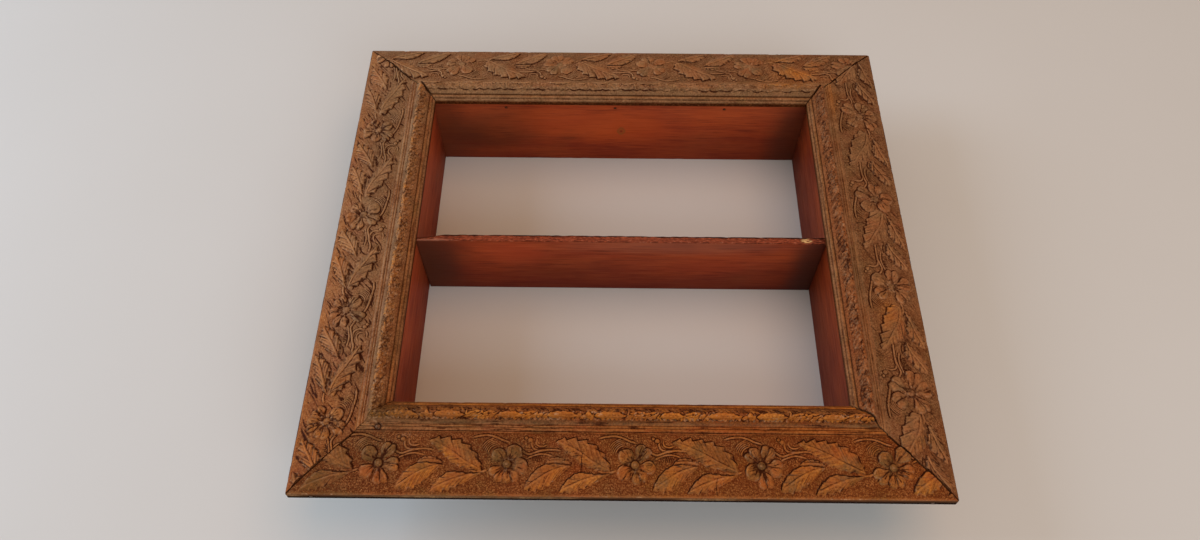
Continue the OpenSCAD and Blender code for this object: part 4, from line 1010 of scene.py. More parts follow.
    speck = smooth(noise(U, A, 3.0, seed + 16, 2), 0.0, 0.4)
    # on the near bead the gilt strokes and pale patches of the inner slope, which faces away from the lamps, are
    # brightened: painted light
    gold = {"bottom": np.clip(outer * rel.on * (0.78 + 0.4 * noise(U, A, 24.0, seed + 13, 2)) + (1 - outer) * (0.55 * smooth(stroke, 0.32, 0.75) + 0.9 * pale_on) * (1 - 0.4 * smooth(A, 14.5, 18.0)), 0, 1), "left": (0.3 + 0.5 * patch) * speck * (1 - 0.6 * smooth(A, 9, 13)) + 0.5 * smooth(noise(U, A, 2.3, seed + 54, 2), 0.12, 0.3) * smooth(A, 3, 6) * (1 - 0.5 * smooth(A, 14, 18)) ,
            "right": (0.05 + 0.25 * patch) * speck, "top": 0.2 * patch * speck}[side]
    gold = np.clip(gold * (0.7 + 0.3 * rel.on) * (1 - (0.5 if side == "bottom" else 0.7) * dark_on), 0, 1)
    if side != "bottom":
        gold = np.clip(np.maximum(gold, {"left": 0.7, "right": 0.3, "top": 0.5}[side] * curl * zone), 0, 1)
        # the lobes' rims lit from the lean direction: painted highlight
        gold = np.clip(np.maximum(gold, {"left": 0.9, "right": 0.35, "top": 0.3}[side] * shine), 0, 1)
    if side == "top":
        gold = np.clip(np.maximum(gold, spots([(122, 80, 36, 8, 0.95)], U, 75.4 + 0.72 * A) * (0.65 + 0.7 * noise(U, A, 4.0, seed + 57, 2))), 0, 1)
    corner = np.exp(-(fromend / 60.0) ** 2)
    grime = np.clip({"bottom": 0.0, "left": 0.05, "right": 0.3 + 0.25 * smooth(U / H, 0.3, 0.7), "top": 0.2}[side] + (0.12 if side == "right" else 0.25) * noise(U, A, 30.0, seed + 14, 2) + 0.3 * corner, 0, 1)
    if side == "left":
        grime = np.maximum(grime, (0.55 + 0.3 * noise(U, A, 12.0, seed + 56, 2)) * smooth(A, 0.8, 2.8) * (1 - smooth(A, 2.8, 6.5)))
    if side == "bottom":
        grime = np.maximum(grime, 0.9 * np.exp(-((U - 90) / 60) ** 2))
        grime = np.maximum(grime, 0.5 * np.exp(-((U - 545) / 40) ** 2) * smooth(A, 6, 12))
    inner = smooth(A, 8.5, 12.0)
    hue = {"bottom": 0.25 * (1 - inner) + 0.1, "left": 0.25 * inner - 0.12 * (1 - inner), "right": 1.0, "top": -0.9 * smooth(A, 12.5, 15) + 0.1}[side] + 0.7 * noise(U, A, 26.0, seed + 35, 2) - 1.2 * fouled
    warm, cool = np.clip(hue, 0, 1), np.clip(-hue, 0, 1)
    # a pale line along the lip: partly chipped gilt, partly painted highlight
    lip = np.exp(-((A - 0.6) / 0.9) ** 2) * smooth(noise(U, A * 0, 6.0, seed + 20, 3), -0.1, 0.4) * {"bottom": 0.6, "left": 0.0, "right": 0.35, "top": 0.6}[side]
    if side != "bottom":
        if side == "top":
            lip = np.maximum(lip, 0.8 * np.exp(-((A - at + 2.0) / 0.8) ** 2) * smooth(noise(U, U * 0, 6.0, seed + 49, 2), -0.2, 0.3))
        # the lobes' lit rims also pale the lip colour: painted highlight
        lip = np.maximum(lip, {"left": 0.55, "right": 0.5, "top": 0.5}[side] * shine * smooth(noise(U, A, 8.0, seed + 48, 2), -0.3, 0.3))
        lip = np.maximum(lip, {"left": 0.4, "right": 0.42, "top": 0.55}[side] * curl * smooth(noise(U, A, 5.0, seed + 40, 2), -0.1, 0.35) * smooth(A, 3.0, 6.0) * (1 - smooth(A, 15, 18)))
    lip = np.maximum(lip, {"bottom": 0.7, "left": 0.6 * smooth(A, 3.0, 6.0), "right": 0.36, "top": 0.4}[side] * smooth(noise(U, A, 2.4, seed + 27, 2), 0.3, 0.6) * (1 - smooth(A, 10, 16)))
    lip = np.maximum(lip, {"left": 0.7, "right": 0.34}.get(side, 0.0) * smooth(noise(lean_on + 9, A * 0.8, {"right": 3.0}.get(side, 2.1), seed + 55, 2), 0.18, 0.4) * smooth(A, 4, 7) * (1 - smooth(A, 18, 20)))
    lip = np.maximum(lip, 1.2 * spots(PALE[side], U, 75.4 + 0.64 * A) * smooth(noise(U, A, 2.6, seed + 53, 2), -0.15, 0.3))
    under = [(p[0], p[1] + ZB) for p in SEAT]
    under[0] = (75.4, 15.2 + ZB)
    ob = strip_mesh("leaf_bead_relief_" + side, side, U, D, Z, ny[:, None], nz[:, None], hgt, under,
                    {"dirt_and_shade": (dirt_and_shade, 0.6), "high": (high, 0.0), "gold": (gold, 0.0), "grime": (grime, 0.3), "chip": (np.clip(lip * 0.8 + 0.4 * rel.pale, 0, 1), 0.0), "ground": (np.clip(smooth(A, 8.5, 11.5) * (1 - 0.6 * rel.on), 0, 1) * {"bottom": 0.4, "left": 0.6, "right": 0.4, "top": 0.3}[side], 0.0), "tan": (tan, 0.2), "warm": (warm, 0.0), "cool": (cool, 0.0)}, 5)
    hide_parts("leaf_bead_" + side)
    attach(ob, "root")
    return ob


# ---------------------------------------------------------------- the wooden moulding under them
def spaced(lo, hi, step, marks, reach=5.0, fine=0.45):
    """Positions from lo to hi, closer together round the marks."""
    pts = set(np.round(np.linspace(lo, hi, int((hi - lo) / step) + 1), 3).tolist())
    for m in marks:
        if lo < m < hi:
            for p in np.arange(max(lo, m - reach), min(hi, m + reach), fine):
                pts.add(round(float(p), 3))
    for e in (lo, hi):
        s = 1 if e == lo else -1
        for p in (0.5, 1.0, 1.6, 2.4):
            pts.add(round(e + s * p, 3))
    out = sorted(pts)
    keep = [out[0]]
    for p in out[1:]:
        if p - keep[-1] > fine * 0.45:
            keep.append(p)
    keep[-1] = hi
    return np.array(keep)


def member(side):
    seed = SEED[side] + 1000
    run = RUN[side]
    rail = side in ("bottom", "top")
    nail_z, nail_u = (103.4, (24.0, run - 24.0)) if rail else (107.0, (36.0, run - 36.0))
    outer = np.stack([np.zeros(24), np.linspace(BACK, ZB - 3.0, 24)], 1)
    low = GROUND - [0, 1.4] + [0, ZB]
    fil = soften(FILLETS, 2) + [0, ZB]
    seat = SEAT + [0, ZB]
    sig = soften(SIGHT, 2) + [0, ZB]
    lip = np.array([[97, ZB + 5], [97, ZB + 2.5], [97, ZB + 0.5], [96.4, ZB], [94, ZB], [90, ZB], [84.5, ZB], [84.5, ZB - 6], [84.5, BACK + 0.4], [84.1, BACK], [70, BACK], [45, BACK], [20, BACK], [0.5, BACK]])
    sec = np.vstack([outer, low[1:], fil, seat, sig, lip])
    kind = np.array([0] * len(outer) + [1] * (len(low) - 1) + [2] * len(fil) + [3] * len(seat) + [4] * len(sig) + [5] * len(lip))
    closed = np.vstack([sec[-1:], sec, sec[:1]])
    tan = closed[2:] - closed[:-2]
    tan /= np.linalg.norm(tan, axis=1)[:, None] + 1e-9
    nrm = np.stack([-tan[:, 1], tan[:, 0]], 1)
    marks = list(nail_u) + ([86.5] if side == "bottom" else [])
    us = spaced(0, run, 3.2, marks, 4.6, 0.42)
    t = us / run
    n, m = len(sec), len(us)
    U, D, Z = np.zeros((n, m)), np.zeros((n, m)), np.zeros((n, m))
    end = np.minimum(us, run - us)
    for i, (d, z) in enumerate(sec):
        inset = d + math.sqrt(2) * LEAN * (z - BACK)
        rag = 0.0
        if kind[i] in (2, 4):
            rag = 0.3 * abs(float(noise(np.array(d * 1.0), np.array(z * 1.0), 2.5, seed + 1, 2)))
        lo, hi = inset + rag, run - inset - rag
        if kind[i] in (2, 3, 4) and side == "bottom":
            lo = d + 0.06 + 0.2 * smooth(-z, -ZB - 4, -ZB)
        if kind[i] in (2, 3, 4) and side == "left":
            hi = run - d - 0.06 - 0.2 * smooth(-z, -ZB - 4, -ZB)
        u = np.clip(us, lo, hi)
        # near the mitre the columns are pulled on to the cut, evenly
        reach = 8.0
        u = np.where(us < inset + reach * 1.0 + 97 - d, lo + (us / (inset + reach + 97 - d)) * (inset + reach + 97 - d - lo), u)
        u = np.where(run - us < inset + reach * 1.0 + 97 - d, run - (inset + rag + ((run - us) / (inset + reach + 97 - d)) * (inset + reach + 97 - d - inset - rag)), u)
        U[i], D[i], Z[i] = u, d, z
    h = np.zeros((n, m))
    vis = np.isin(kind, (2, 4))[:, None]
    S = np.concatenate([[0], np.cumsum(np.linalg.norm(np.diff(sec, axis=0), axis=1))])[:, None] + np.zeros((1, m))
    h += np.where(vis, 0.10 * noise(U, S, 26.0, seed + 2, 3) + 0.05 * noise(U, S, 4.0, seed + 3, 2) - 0.35 * smooth(noise(U, S, 9.0, seed + 4, 2), 0.55, 0.85), 0)
    h += np.where((kind == 0)[:, None], 0.08 * noise(U, S, 20.0, seed + 5, 2) - 0.25 * smooth(noise(U, S, 14.0, seed + 6, 2), 0.5, 0.8) - 0.08, 0) * (Z > BACK + 0.8)
    dirt_and_shade = np.zeros((n, m))
    for nu in nail_u:
        r = np.hypot(U - nu, Z - nail_z)
        k = np.where((kind == 0)[:, None], 1 - smooth(r, 2.1, 2.9), 0)
        h -= 1.15 * k
        dirt_and_shade = np.maximum(dirt_and_shade, np.where((kind == 0)[:, None], np.exp(-((r - 2.2) / 1.0) ** 2), 0))
    if side == "bottom":
        r = np.hypot(U - 86.5, D - 68.0)
        k = np.where(np.isin(kind, (2,))[:, None], 1 - smooth(r, 3.1, 4.3), 0)
        want = np.minimum(Z, ZB + 9.9)
        Z = Z * (1 - k) + want * k
        h *= 1 - k
        ring = np.exp(-((r - 3.4) / 0.8) ** 2) * (kind == 2)[:, None]
        dirt_and_shade = np.maximum(dirt_and_shade, ring)
    x, y, z = to_world(side, U, D + nrm[:, :1] * h, Z + nrm[:, 1:] * h)
    verts = np.stack([x + 0 * z, y + 0 * z, z], -1).reshape(-1, 3) * 0.001
    idx = np.arange(n * m).reshape(n, m)
    nxt = np.roll(idx, -1, 0)
    quads = np.stack([idx[:, :-1], nxt[:, :-1], nxt[:, 1:], idx[:, 1:]], -1).reshape(-1, 4)
    faces = [tuple(f) for f in quads[:, ::-1].tolist()]
    faces.append(tuple(idx[:, 0].tolist()))
    faces.append(tuple(idx[::-1, -1].tolist()))
    lines = np.zeros((n, m))
    dcol = D
    faint = {"bottom": 0.85, "left": 0.4, "right": 0.4, "top": 0.3}[side]
    for at, wid, amt in ((64.35, 0.5, faint), (68.15, 0.35, 0.6 * faint), (70.75, 0.45, faint), (62.7, 0.5, 0.5 * faint), (91.25, 0.35, {"bottom": 0.8}.get(side, 0.6)), (94.9, 0.5, {"bottom": 0.85}.get(side, 0.7)), (75.1, 0.55, {"left": 0.6, "right": 0.5}.get(side, 0.2))):
        lines = np.maximum(lines, amt * np.exp(-((dcol - at) / wid) ** 2) * vis)
    cove = np.exp(-((dcol - 72.6) / 1.9) ** 2) * vis
    gold = (np.exp(-((dcol - 92.9) / 1.1) ** 2) * 0.95 + np.exp(-((dcol - 69.5) / 0.7) ** 2) * 0.4 + np.exp(-((dcol - 66.6) / 1.2) ** 2) * 0.3) * vis
    gold = gold * (0.75 + 0.35 * noise(U, S, 40.0, seed + 7, 3)) * {"bottom": 0.9, "left": 0.25, "right": 0.32, "top": 0.35}[side]
    gold = np.maximum(gold, spots(GOLD[side], U, D) * vis)
    tan = np.clip(tan_amount(side, U, D, seed) * vis, 0, 1)
    grime = np.clip({"right": 0.3, "top": 0.2}.get(side, 0.0) + cove * {"bottom": 0.9, "left": 0.35, "right": -0.2, "top": 0.3}[side] + 0.25 * noise(U, S, 30.0, seed + 8, 2) * vis, 0, 1)
    if side == "bottom":
        grime = np.maximum(grime, np.exp(-((U - 80) / 46) ** 2) * vis * 0.9)
    dirt_and_shade = np.clip(np.maximum(dirt_and_shade, lines * (0.8 + 0.3 * noise(U, S, 12.0, seed + 9, 2))), 0, 1)
    streak = noise(U * 0.07 + 3.0, dcol, 1.25, seed + 21, 2)
    drawn = {"bottom": 1.0, "left": 0.75, "right": 0.75, "top": 0.55}[side] * vis
    dirt_and_shade = np.clip(np.maximum(dirt_and_shade, 0.6 * drawn * smooth(-streak, 0.08, 0.55)), 0, 1)
    span = W if side in ("bottom", "top") else H
    kept = {"bottom": smooth(U / span, 0.3, 0.4), "left": 1 - smooth(U / span, 0.6, 0.7)}.get(side, 1.0)
    dirt_and_shade = np.clip(np.maximum(dirt_and_shade, 0.85 * kept * vis * np.exp(-(np.minimum(U - D, span - U - D) / 0.5) ** 2)), 0, 1)
    high = np.clip({"bottom": 1.1, "top": 0.4}.get(side, 0.9) * drawn * smooth(streak, 0.02, 0.5), 0, 1)
    raw = np.where(np.isin(kind, (0, 5, 1, 3))[:, None], 1.0, 0.0) + np.zeros((n, m))
    # the inner face of the sight edge, where it drops into the box, is dark: painted shade
    raw = np.where((kind == 5)[:, None] & (D > 96.9), 0.0, raw)
    dirt_and_shade = np.where((kind == 5)[:, None] & (D > 96.9), 0.6, dirt_and_shade)
    scuff = (kind == 0)[:, None] * smooth(Z, 103.6, 105.6) * smooth(noise(U, Z * 0, 70.0, seed + 11, 2), -0.45, 0.1) * (0.65 + 0.5 * noise(U, S, 7.0, seed + 12, 2))
    hue = {"bottom": 0.1, "left": 0.0, "right": 0.1, "top": -0.3}[side] + 0.8 * noise(U, S, 50.0, seed + 13, 2)
    ob = make_object("moulding_" + side, verts, faces, None,
                     {"warm": np.clip(hue * vis, 0, 1).ravel(), "cool": np.clip(-hue * vis, 0, 1).ravel(), "dirt_and_shade": dirt_and_shade.ravel(), "high": (high + np.zeros((n, m))).ravel(), "gold": np.clip(gold, 0, 1).ravel(), "grime": grime.ravel(),
                      "chip": np.clip(np.maximum(scuff, vis * spots(PALE[side], U, D) * smooth(noise(U, D, 2.8, seed + 22, 2), -0.15, 0.3)), 0, 1).ravel(), "tan": tan.ravel(), "raw": (raw + np.zeros((n, m))).ravel(), "ground": np.zeros(n * m)}, sharp=50.0)
    name = {"bottom": "frame_rail_bottom", "top": "frame_rail_top", "left": "frame_stile_left", "right": "frame_stile_right"}[side]
    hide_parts(name)
    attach(ob, "root")
    return ob


# ---------------------------------------------------------------- boards
def slab(name, xs, ys, zs, change, attrs=None):
    """A closed block on a lattice of lines, with its surface points moved by change(points)."""
    nx, ny, nz = len(xs), len(ys), len(zs)
    I, J, K = np.meshgrid(np.arange(nx), np.arange(ny), np.arange(nz), indexing="ij")
    on = (I == 0) | (I == nx - 1) | (J == 0) | (J == ny - 1) | (K == 0) | (K == nz - 1)
    ids = -np.ones((nx, ny, nz), int)
    ids[on] = np.arange(on.sum())
    P = np.stack([xs[I[on]], ys[J[on]], zs[K[on]]], 1).astype(float)
    faces = []

    def grid(a, flip):
        q = np.stack([a[:-1, :-1], a[1:, :-1], a[1:, 1:], a[:-1, 1:]], -1).reshape(-1, 4)
        faces.extend(tuple(f) for f in (q[:, ::-1] if flip else q).tolist())
    grid(ids[:, :, 0], True)
    grid(ids[:, :, -1], False)
    grid(ids[:, 0, :], False)
    grid(ids[:, -1, :], True)
    grid(ids[0, :, :], True)
    grid(ids[-1, :, :], False)
    lo, hi = P.min(0), P.max(0)
    Q, extra = change(P.copy(), lo, hi)
    return make_object(name, Q * 0.001, faces, None, extra, sharp=40.0)


def rounded(P, lo, hi, r):
    q = np.clip(P, lo + r, hi - r)
    v = P - q
    n = np.linalg.norm(v, axis=1, keepdims=True)
    out = np.where(n > r * 1e-6, q + v / np.maximum(n, 1e-9) * r, P)
    return np.where(n > 1e-9, out, P)


def lines(lo, hi, step, r, marks=(), reach=3.4, fine=0.5):
    pts = [lo, lo + r * 0.3, lo + r * 0.65, lo + r, hi - r, hi - r * 0.65, hi - r * 0.3, hi]
    n = max(1, int(round((hi - lo - 2 * r) / step)))
    pts += list(np.linspace(lo + r, hi - r, n + 1))
    for m in marks:
        pts += [p for p in np.arange(m - reach, m + reach + 0.01, fine) if lo + r < p < hi - r]
    pts = sorted(set(round(float(p), 4) for p in pts))
    keep = [pts[0]]
    for p in pts[1:]:
        if p - keep[-1] > 0.12:
            keep.append(p)
    keep[-1] = hi
    return np.array(keep)


def board(which):
    r = 0.7
    seed = {"top": 3, "bottom": 5, "left": 7, "right": 9}[which]
    along = which in ("top", "bottom")
    s = 1 if which in ("top", "right") else -1
    if along:
        y0, y1 = (IH / 2, IH / 2 + BT) if s > 0 else (-IH / 2 - BT, -IH / 2)
        brads = [-150, -7, 136] if s > 0 else [150, 7, -136]
        xs = lines(-IW / 2 - BT, IW / 2 + BT, 7.0, r, [-248.2, 248.2] + brads)
        ys = lines(y0, y1, 3.0, r)
        zs = lines(0, ZB, 4.5, r, [18, 56, 94, 104])
        outer_nails = [(sx * 248.2, z) for sx in (-1, 1) for z in (18, 56, 94)]
        inner_nails = [(b, 104.0) for b in brads]
        face, tang = 1, 0
    else:
        x0, x1 = (IW / 2, IW / 2 + BT) if s > 0 else (-IW / 2 - BT, -IW / 2)
        xs = lines(x0, x1, 3.0, r)
        ys = lines(-IH / 2, IH / 2, 7.0, r, [5.6, -120, 110])
        zs = lines(0, ZB, 4.5, r, [20, 56, 92, 104])
        outer_nails = [(5.6, z) for z in (20, 56, 92)]
        inner_nails = [(-120, 104.0), (110, 104.0)]
        face, tang = 0, 1

    def change(P, lo, hi):
        out = s * (P[:, face] - (lo[face] + hi[face]) / 2) > BT / 2 - 0.01
        inn = s * (P[:, face] - (lo[face] + hi[face]) / 2) < -BT / 2 + 0.01
        Q = rounded(P, lo, hi, r)
        wob = 0.10 * noise(P[:, tang], P[:, 2], 60.0, seed, 2) + 0.03 * noise(P[:, tang] * 0.15, P[:, 2], 3.0, seed + 1, 2)
        inside = smooth(P[:, 2], 0.5, 3) * (1 - smooth(P[:, 2], ZB - 3, ZB - 0.5))
        Q[:, face] -= s * np.where(out, np.abs(wob) * inside, 0)
        Q[:, face] += s * np.where(inn, np.abs(wob) * inside, 0)
        dirt_and_shade = np.zeros(len(P))
        for c, z in outer_nails:
            q = np.hypot(P[:, tang] - c, P[:, 2] - z)
            Q[:, face] -= s * np.where(out, 1.15 * (1 - smooth(q, 2.0, 2.7)), 0)
            dirt_and_shade = np.maximum(dirt_and_shade, np.where(out, np.exp(-((q - 2.0) / 1.2) ** 2), 0))
        for c, z in inner_nails:
            q = np.hypot(P[:, tang] - c, P[:, 2] - z)
            Q[:, face] += s * np.where(inn, 1.0 * (1 - smooth(q, 1.4, 2.1)), 0)
            dirt_and_shade = np.maximum(dirt_and_shade, np.where(inn, np.exp(-(q / 1.9) ** 2), 0))
        # the back rim is scuffed where it has stood on things
        rim = 1 - smooth(P[:, 2], 0.0, 1.4)
        Q[:, 2] += rim * 0.5 * smooth(noise(P[:, tang], P[:, face], 12.0, seed + 4, 2), 0.2, 0.7)
        return Q, {"dirt_and_shade": dirt_and_shade, "raw": np.where(out | (P[:, 2] < 0.4), 1.0, 0.0), "splinter": np.zeros(len(P))}

    ob = slab("board_" + which, xs, ys, zs, change)
    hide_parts("box_board_" + which)
    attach(ob, "root")
    return ob


def shelf_board():
    r = 0.9
    y0, y1, depth = 1.2, 10.0, ZB - 4.6
    xs = np.array(sorted(set(lines(-IW / 2, IW / 2, 4.0, r).tolist() + np.arange(-243, -180, 1.6).tolist() + np.arange(206, 240, 0.8).tolist())))
    ys = lines(y0, y1, 1.1, r)
    zs = np.array(sorted(set(lines(0, depth, 5.0, r).tolist() + np.arange(depth - 10, depth - 1.2, 0.9).tolist())))
    xs, zs = (a[np.concatenate([[True], np.diff(a) > 0.12])] for a in (xs, zs))
    xs[-1], zs[-1] = IW / 2, depth

    def change(P, lo, hi):
        Q = rounded(P, lo, hi, r)
        x, y, z = P.T
        front = smooth(z, depth - 3.0, depth - 0.4)
        # sawn front edge: slightly wavy, with short torn fibres
        Q[:, 2] -= front * (0.25 + 0.25 * noise(x, y, 30.0, 61, 3) + 0.35 * smooth(noise(x, y * 3.0, 6.0, 62, 2), 0.25, 0.7))
        arr = front * np.minimum(smooth(y, y0 + 1.6, y0), 1)
        Q[:, 1] += (1 - smooth(y, y0, y0 + 1.2)) * front * 0.45 * smooth(noise(x, z * 0, 8.0, 63, 2), 0.0, 0.7)
        Q[:, 1] -= smooth(y, y1 - 1.2, y1) * front * 0.6 * smooth(noise(x, z * 0, 7.0, 64, 2), -0.1, 0.7)
        # the far arris is waney at the left end
        c = 7.4 * (1 - smooth(x, -246, -196)) ** 1.15
        over = (Q[:, 1] - y1) + (Q[:, 2] - depth) * 0.9 + c
        over = np.where((over > 0) & (c > 0.05), over, 0)
        Q[:, 1] -= over * 0.62
        Q[:, 2] -= over * 0.38
        Q[:, 2] -= np.where(over > 0, 0.25 * np.abs(noise(x, y, 5.0, 66, 2)), 0)
        # splintered place near the right end
        e = np.hypot((x - 220) / 7.5, (y - 5.0) / 3.6)
        torn = front * (1 - smooth(e, 0.55, 1.1))
        Q[:, 2] -= torn * (0.7 + 0.6 * noise(x, y * 4, 3.0, 65, 2))
        # out of square at the left end
        gap = 1.4 * np.clip(1 - z / (depth * 0.75), 0, 1)
        Q[:, 0] += gap * (1 - smooth(x, -IW / 2, -IW / 2 + 60))
        wob = 0.14 * noise(x, z, 90.0, 68, 2)
        mid = smooth(z, 0.5, 4) * (1 - smooth(z, depth - 4, depth - 1))
        Q[:, 1] += np.where(np.abs(y - y0) < 0.01, np.abs(wob) * mid, 0) - np.where(np.abs(y - y1) < 0.01, np.abs(wob) * mid, 0)
        return Q, {"dirt_and_shade": np.where(over > 0, 0.35, 0.0), "raw": (z < 0.4) * 0.8, "splinter": torn, "edge": front}

    ob = slab("shelf_board", xs, ys, zs, change)
    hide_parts("shelf")
    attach(ob, "root")
    return ob


def domed_nail():
    """Round-headed nail in the corner of the moulding."""
    cx, cy, top = -W / 2 + 86.5, -H / 2 + 68.0, ZB + 11.6
    prof = [(0.0, 0.0), (0.9, -0.03), (1.7, -0.14), (2.3, -0.32), (2.75, -0.62), (2.98, -0.95), (2.9, -1.2), (1.1, -1.25), (1.1, -19.5), (0.25, -22.0)]
    seg = 40
    verts = [(cx, cy, top)]
    for r, z in prof[1:]:
        for k in range(seg):
            a = 2 * math.pi * k / seg
            rr = r * (1 + 0.02 * math.sin(3 * a + 0.4)) if z > -1.3 else r
            dent = -0.16 * math.exp(-((rr * math.cos(a) - 0.8) ** 2 + (rr * math.sin(a) + 0.6) ** 2) / 0.9) if z > -0.5 else 0.0
            verts.append((cx + rr * math.cos(a), cy + rr * math.sin(a), top + z + dent))
    verts.append((cx, cy, top - 22.0))
    faces = [(0, 1 + k, 1 + (k + 1) % seg) for k in range(seg)]
    for i in range(len(prof) - 2):
        for k in range(seg):
            a, b = 1 + i * seg + k, 1 + i * seg + (k + 1) % seg
            faces.append((a, a + seg, b + seg, b))
    last = len(verts) - 1
    faces += [(last, 1 + (len(prof) - 2) * seg + (k + 1) % seg, 1 + (len(prof) - 2) * seg + k) for k in range(seg)]
    ob = make_object("round_head_nail", np.array(verts) * 0.001, faces, None, None, sharp=50.0)
    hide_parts("corner_face_nail")
    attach(ob, "root")
    return ob


# ---------------------------------------------------------------- materials
class Nodes:
    def __init__(self, name):
        self.mat = bpy.data.materials.new(name)
        self.mat.use_nodes = True
        self.t = self.mat.node_tree
        self.t.nodes.clear()
        out = self.t.nodes.new("ShaderNodeOutputMaterial")
        self.b = self.t.nodes.new("ShaderNodeBsdfPrincipled")
        self.t.links.new(self.b.outputs[0], out.inputs[0])
        self.co = self.t.nodes.new("ShaderNodeTexCoord").outputs["Object"]

    def put(self, sock, v):
        if isinstance(v, bpy.types.NodeSocket):
            self.t.links.new(v, sock)
        elif isinstance(v, (tuple, list)) and len(v) == 3 and sock.type == "RGBA":
            sock.default_value = (*v, 1.0)
        else:
            sock.default_value = v

    def attr(self, name):
        n = self.t.nodes.new("ShaderNodeAttribute")
        n.attribute_name = name
        return n.outputs["Fac"]

    def m(self, op, a, b=0.5, c=None, clamp=False):
        n = self.t.nodes.new("ShaderNodeMath")
        n.operation = op
        n.use_clamp = clamp
        self.put(n.inputs[0], a)
        self.put(n.inputs[1], b)
        if c is not None:
            self.put(n.inputs[2], c)
        return n.outputs[0]

    def scale(self, v, s, loc=(0, 0, 0)):
        n = self.t.nodes.new("ShaderNodeMapping")
        self.put(n.inputs["Vector"], v)
        n.inputs["Scale"].default_value = s
        n.inputs["Location"].default_value = loc
        return n.outputs[0]

    def noise(self, v, s, detail=3.0, rough=0.5, distort=0.0):
        n = self.t.nodes.new("ShaderNodeTexNoise")
        self.put(n.inputs["Vector"], v)
        n.inputs["Scale"].default_value = s
        n.inputs["Detail"].default_value = detail
        n.inputs["Roughness"].default_value = rough
        n.inputs["Distortion"].default_value = distort
        return n.outputs["Fac"]

    def cells(self, v, s, rand=1.0, feature="F1"):
        n = self.t.nodes.new("ShaderNodeTexVoronoi")
        n.feature = feature
        self.put(n.inputs["Vector"], v)
        n.inputs["Scale"].default_value = s
        n.inputs["Randomness"].default_value = rand
        return n.outputs["Distance"]

    def ramp(self, v, lo, hi, a=0.0, b=1.0, kind="SMOOTHSTEP"):
        n = self.t.nodes.new("ShaderNodeMapRange")
        n.interpolation_type = kind
        self.put(n.inputs["Value"], v)
        n.inputs["From Min"].default_value = lo
        n.inputs["From Max"].default_value = hi
        n.inputs["To Min"].default_value = a
        n.inputs["To Max"].default_value = b
        return n.outputs["Result"]

    def mix(self, f, a, b, kind="MIX"):
        n = self.t.nodes.new("ShaderNodeMix")
        n.data_type = "RGBA"
        n.blend_type = kind
        n.clamp_factor = True
        self.put(n.inputs["Factor"], f)
        self.put(n.inputs["A"] if False else n.inputs[6], a)
        self.put(n.inputs[7], b)
        return n.outputs[2]

    def bump(self, h, dist, strength=1.0, normal=None):
        n = self.t.nodes.new("ShaderNodeBump")
        n.inputs["Strength"].default_value = strength
        n.inputs["Distance"].default_value = dist
        self.put(n.inputs["Height"], h)
        if normal is not None:
            self.put(n.inputs["Normal"], normal)
        return n.outputs[0]

    def axis(self, k):
        n = self.t.nodes.new("ShaderNodeSeparateXYZ")
        self.put(n.inputs[0], self.co)
        return n.outputs[k]


def srgb(r, g, b):
    f = lambda c: c / 255 / 12.92 if c <= 10 else ((c / 255 + 0.055) / 1.055) ** 2.4
    return (f(r), f(g), f(b))


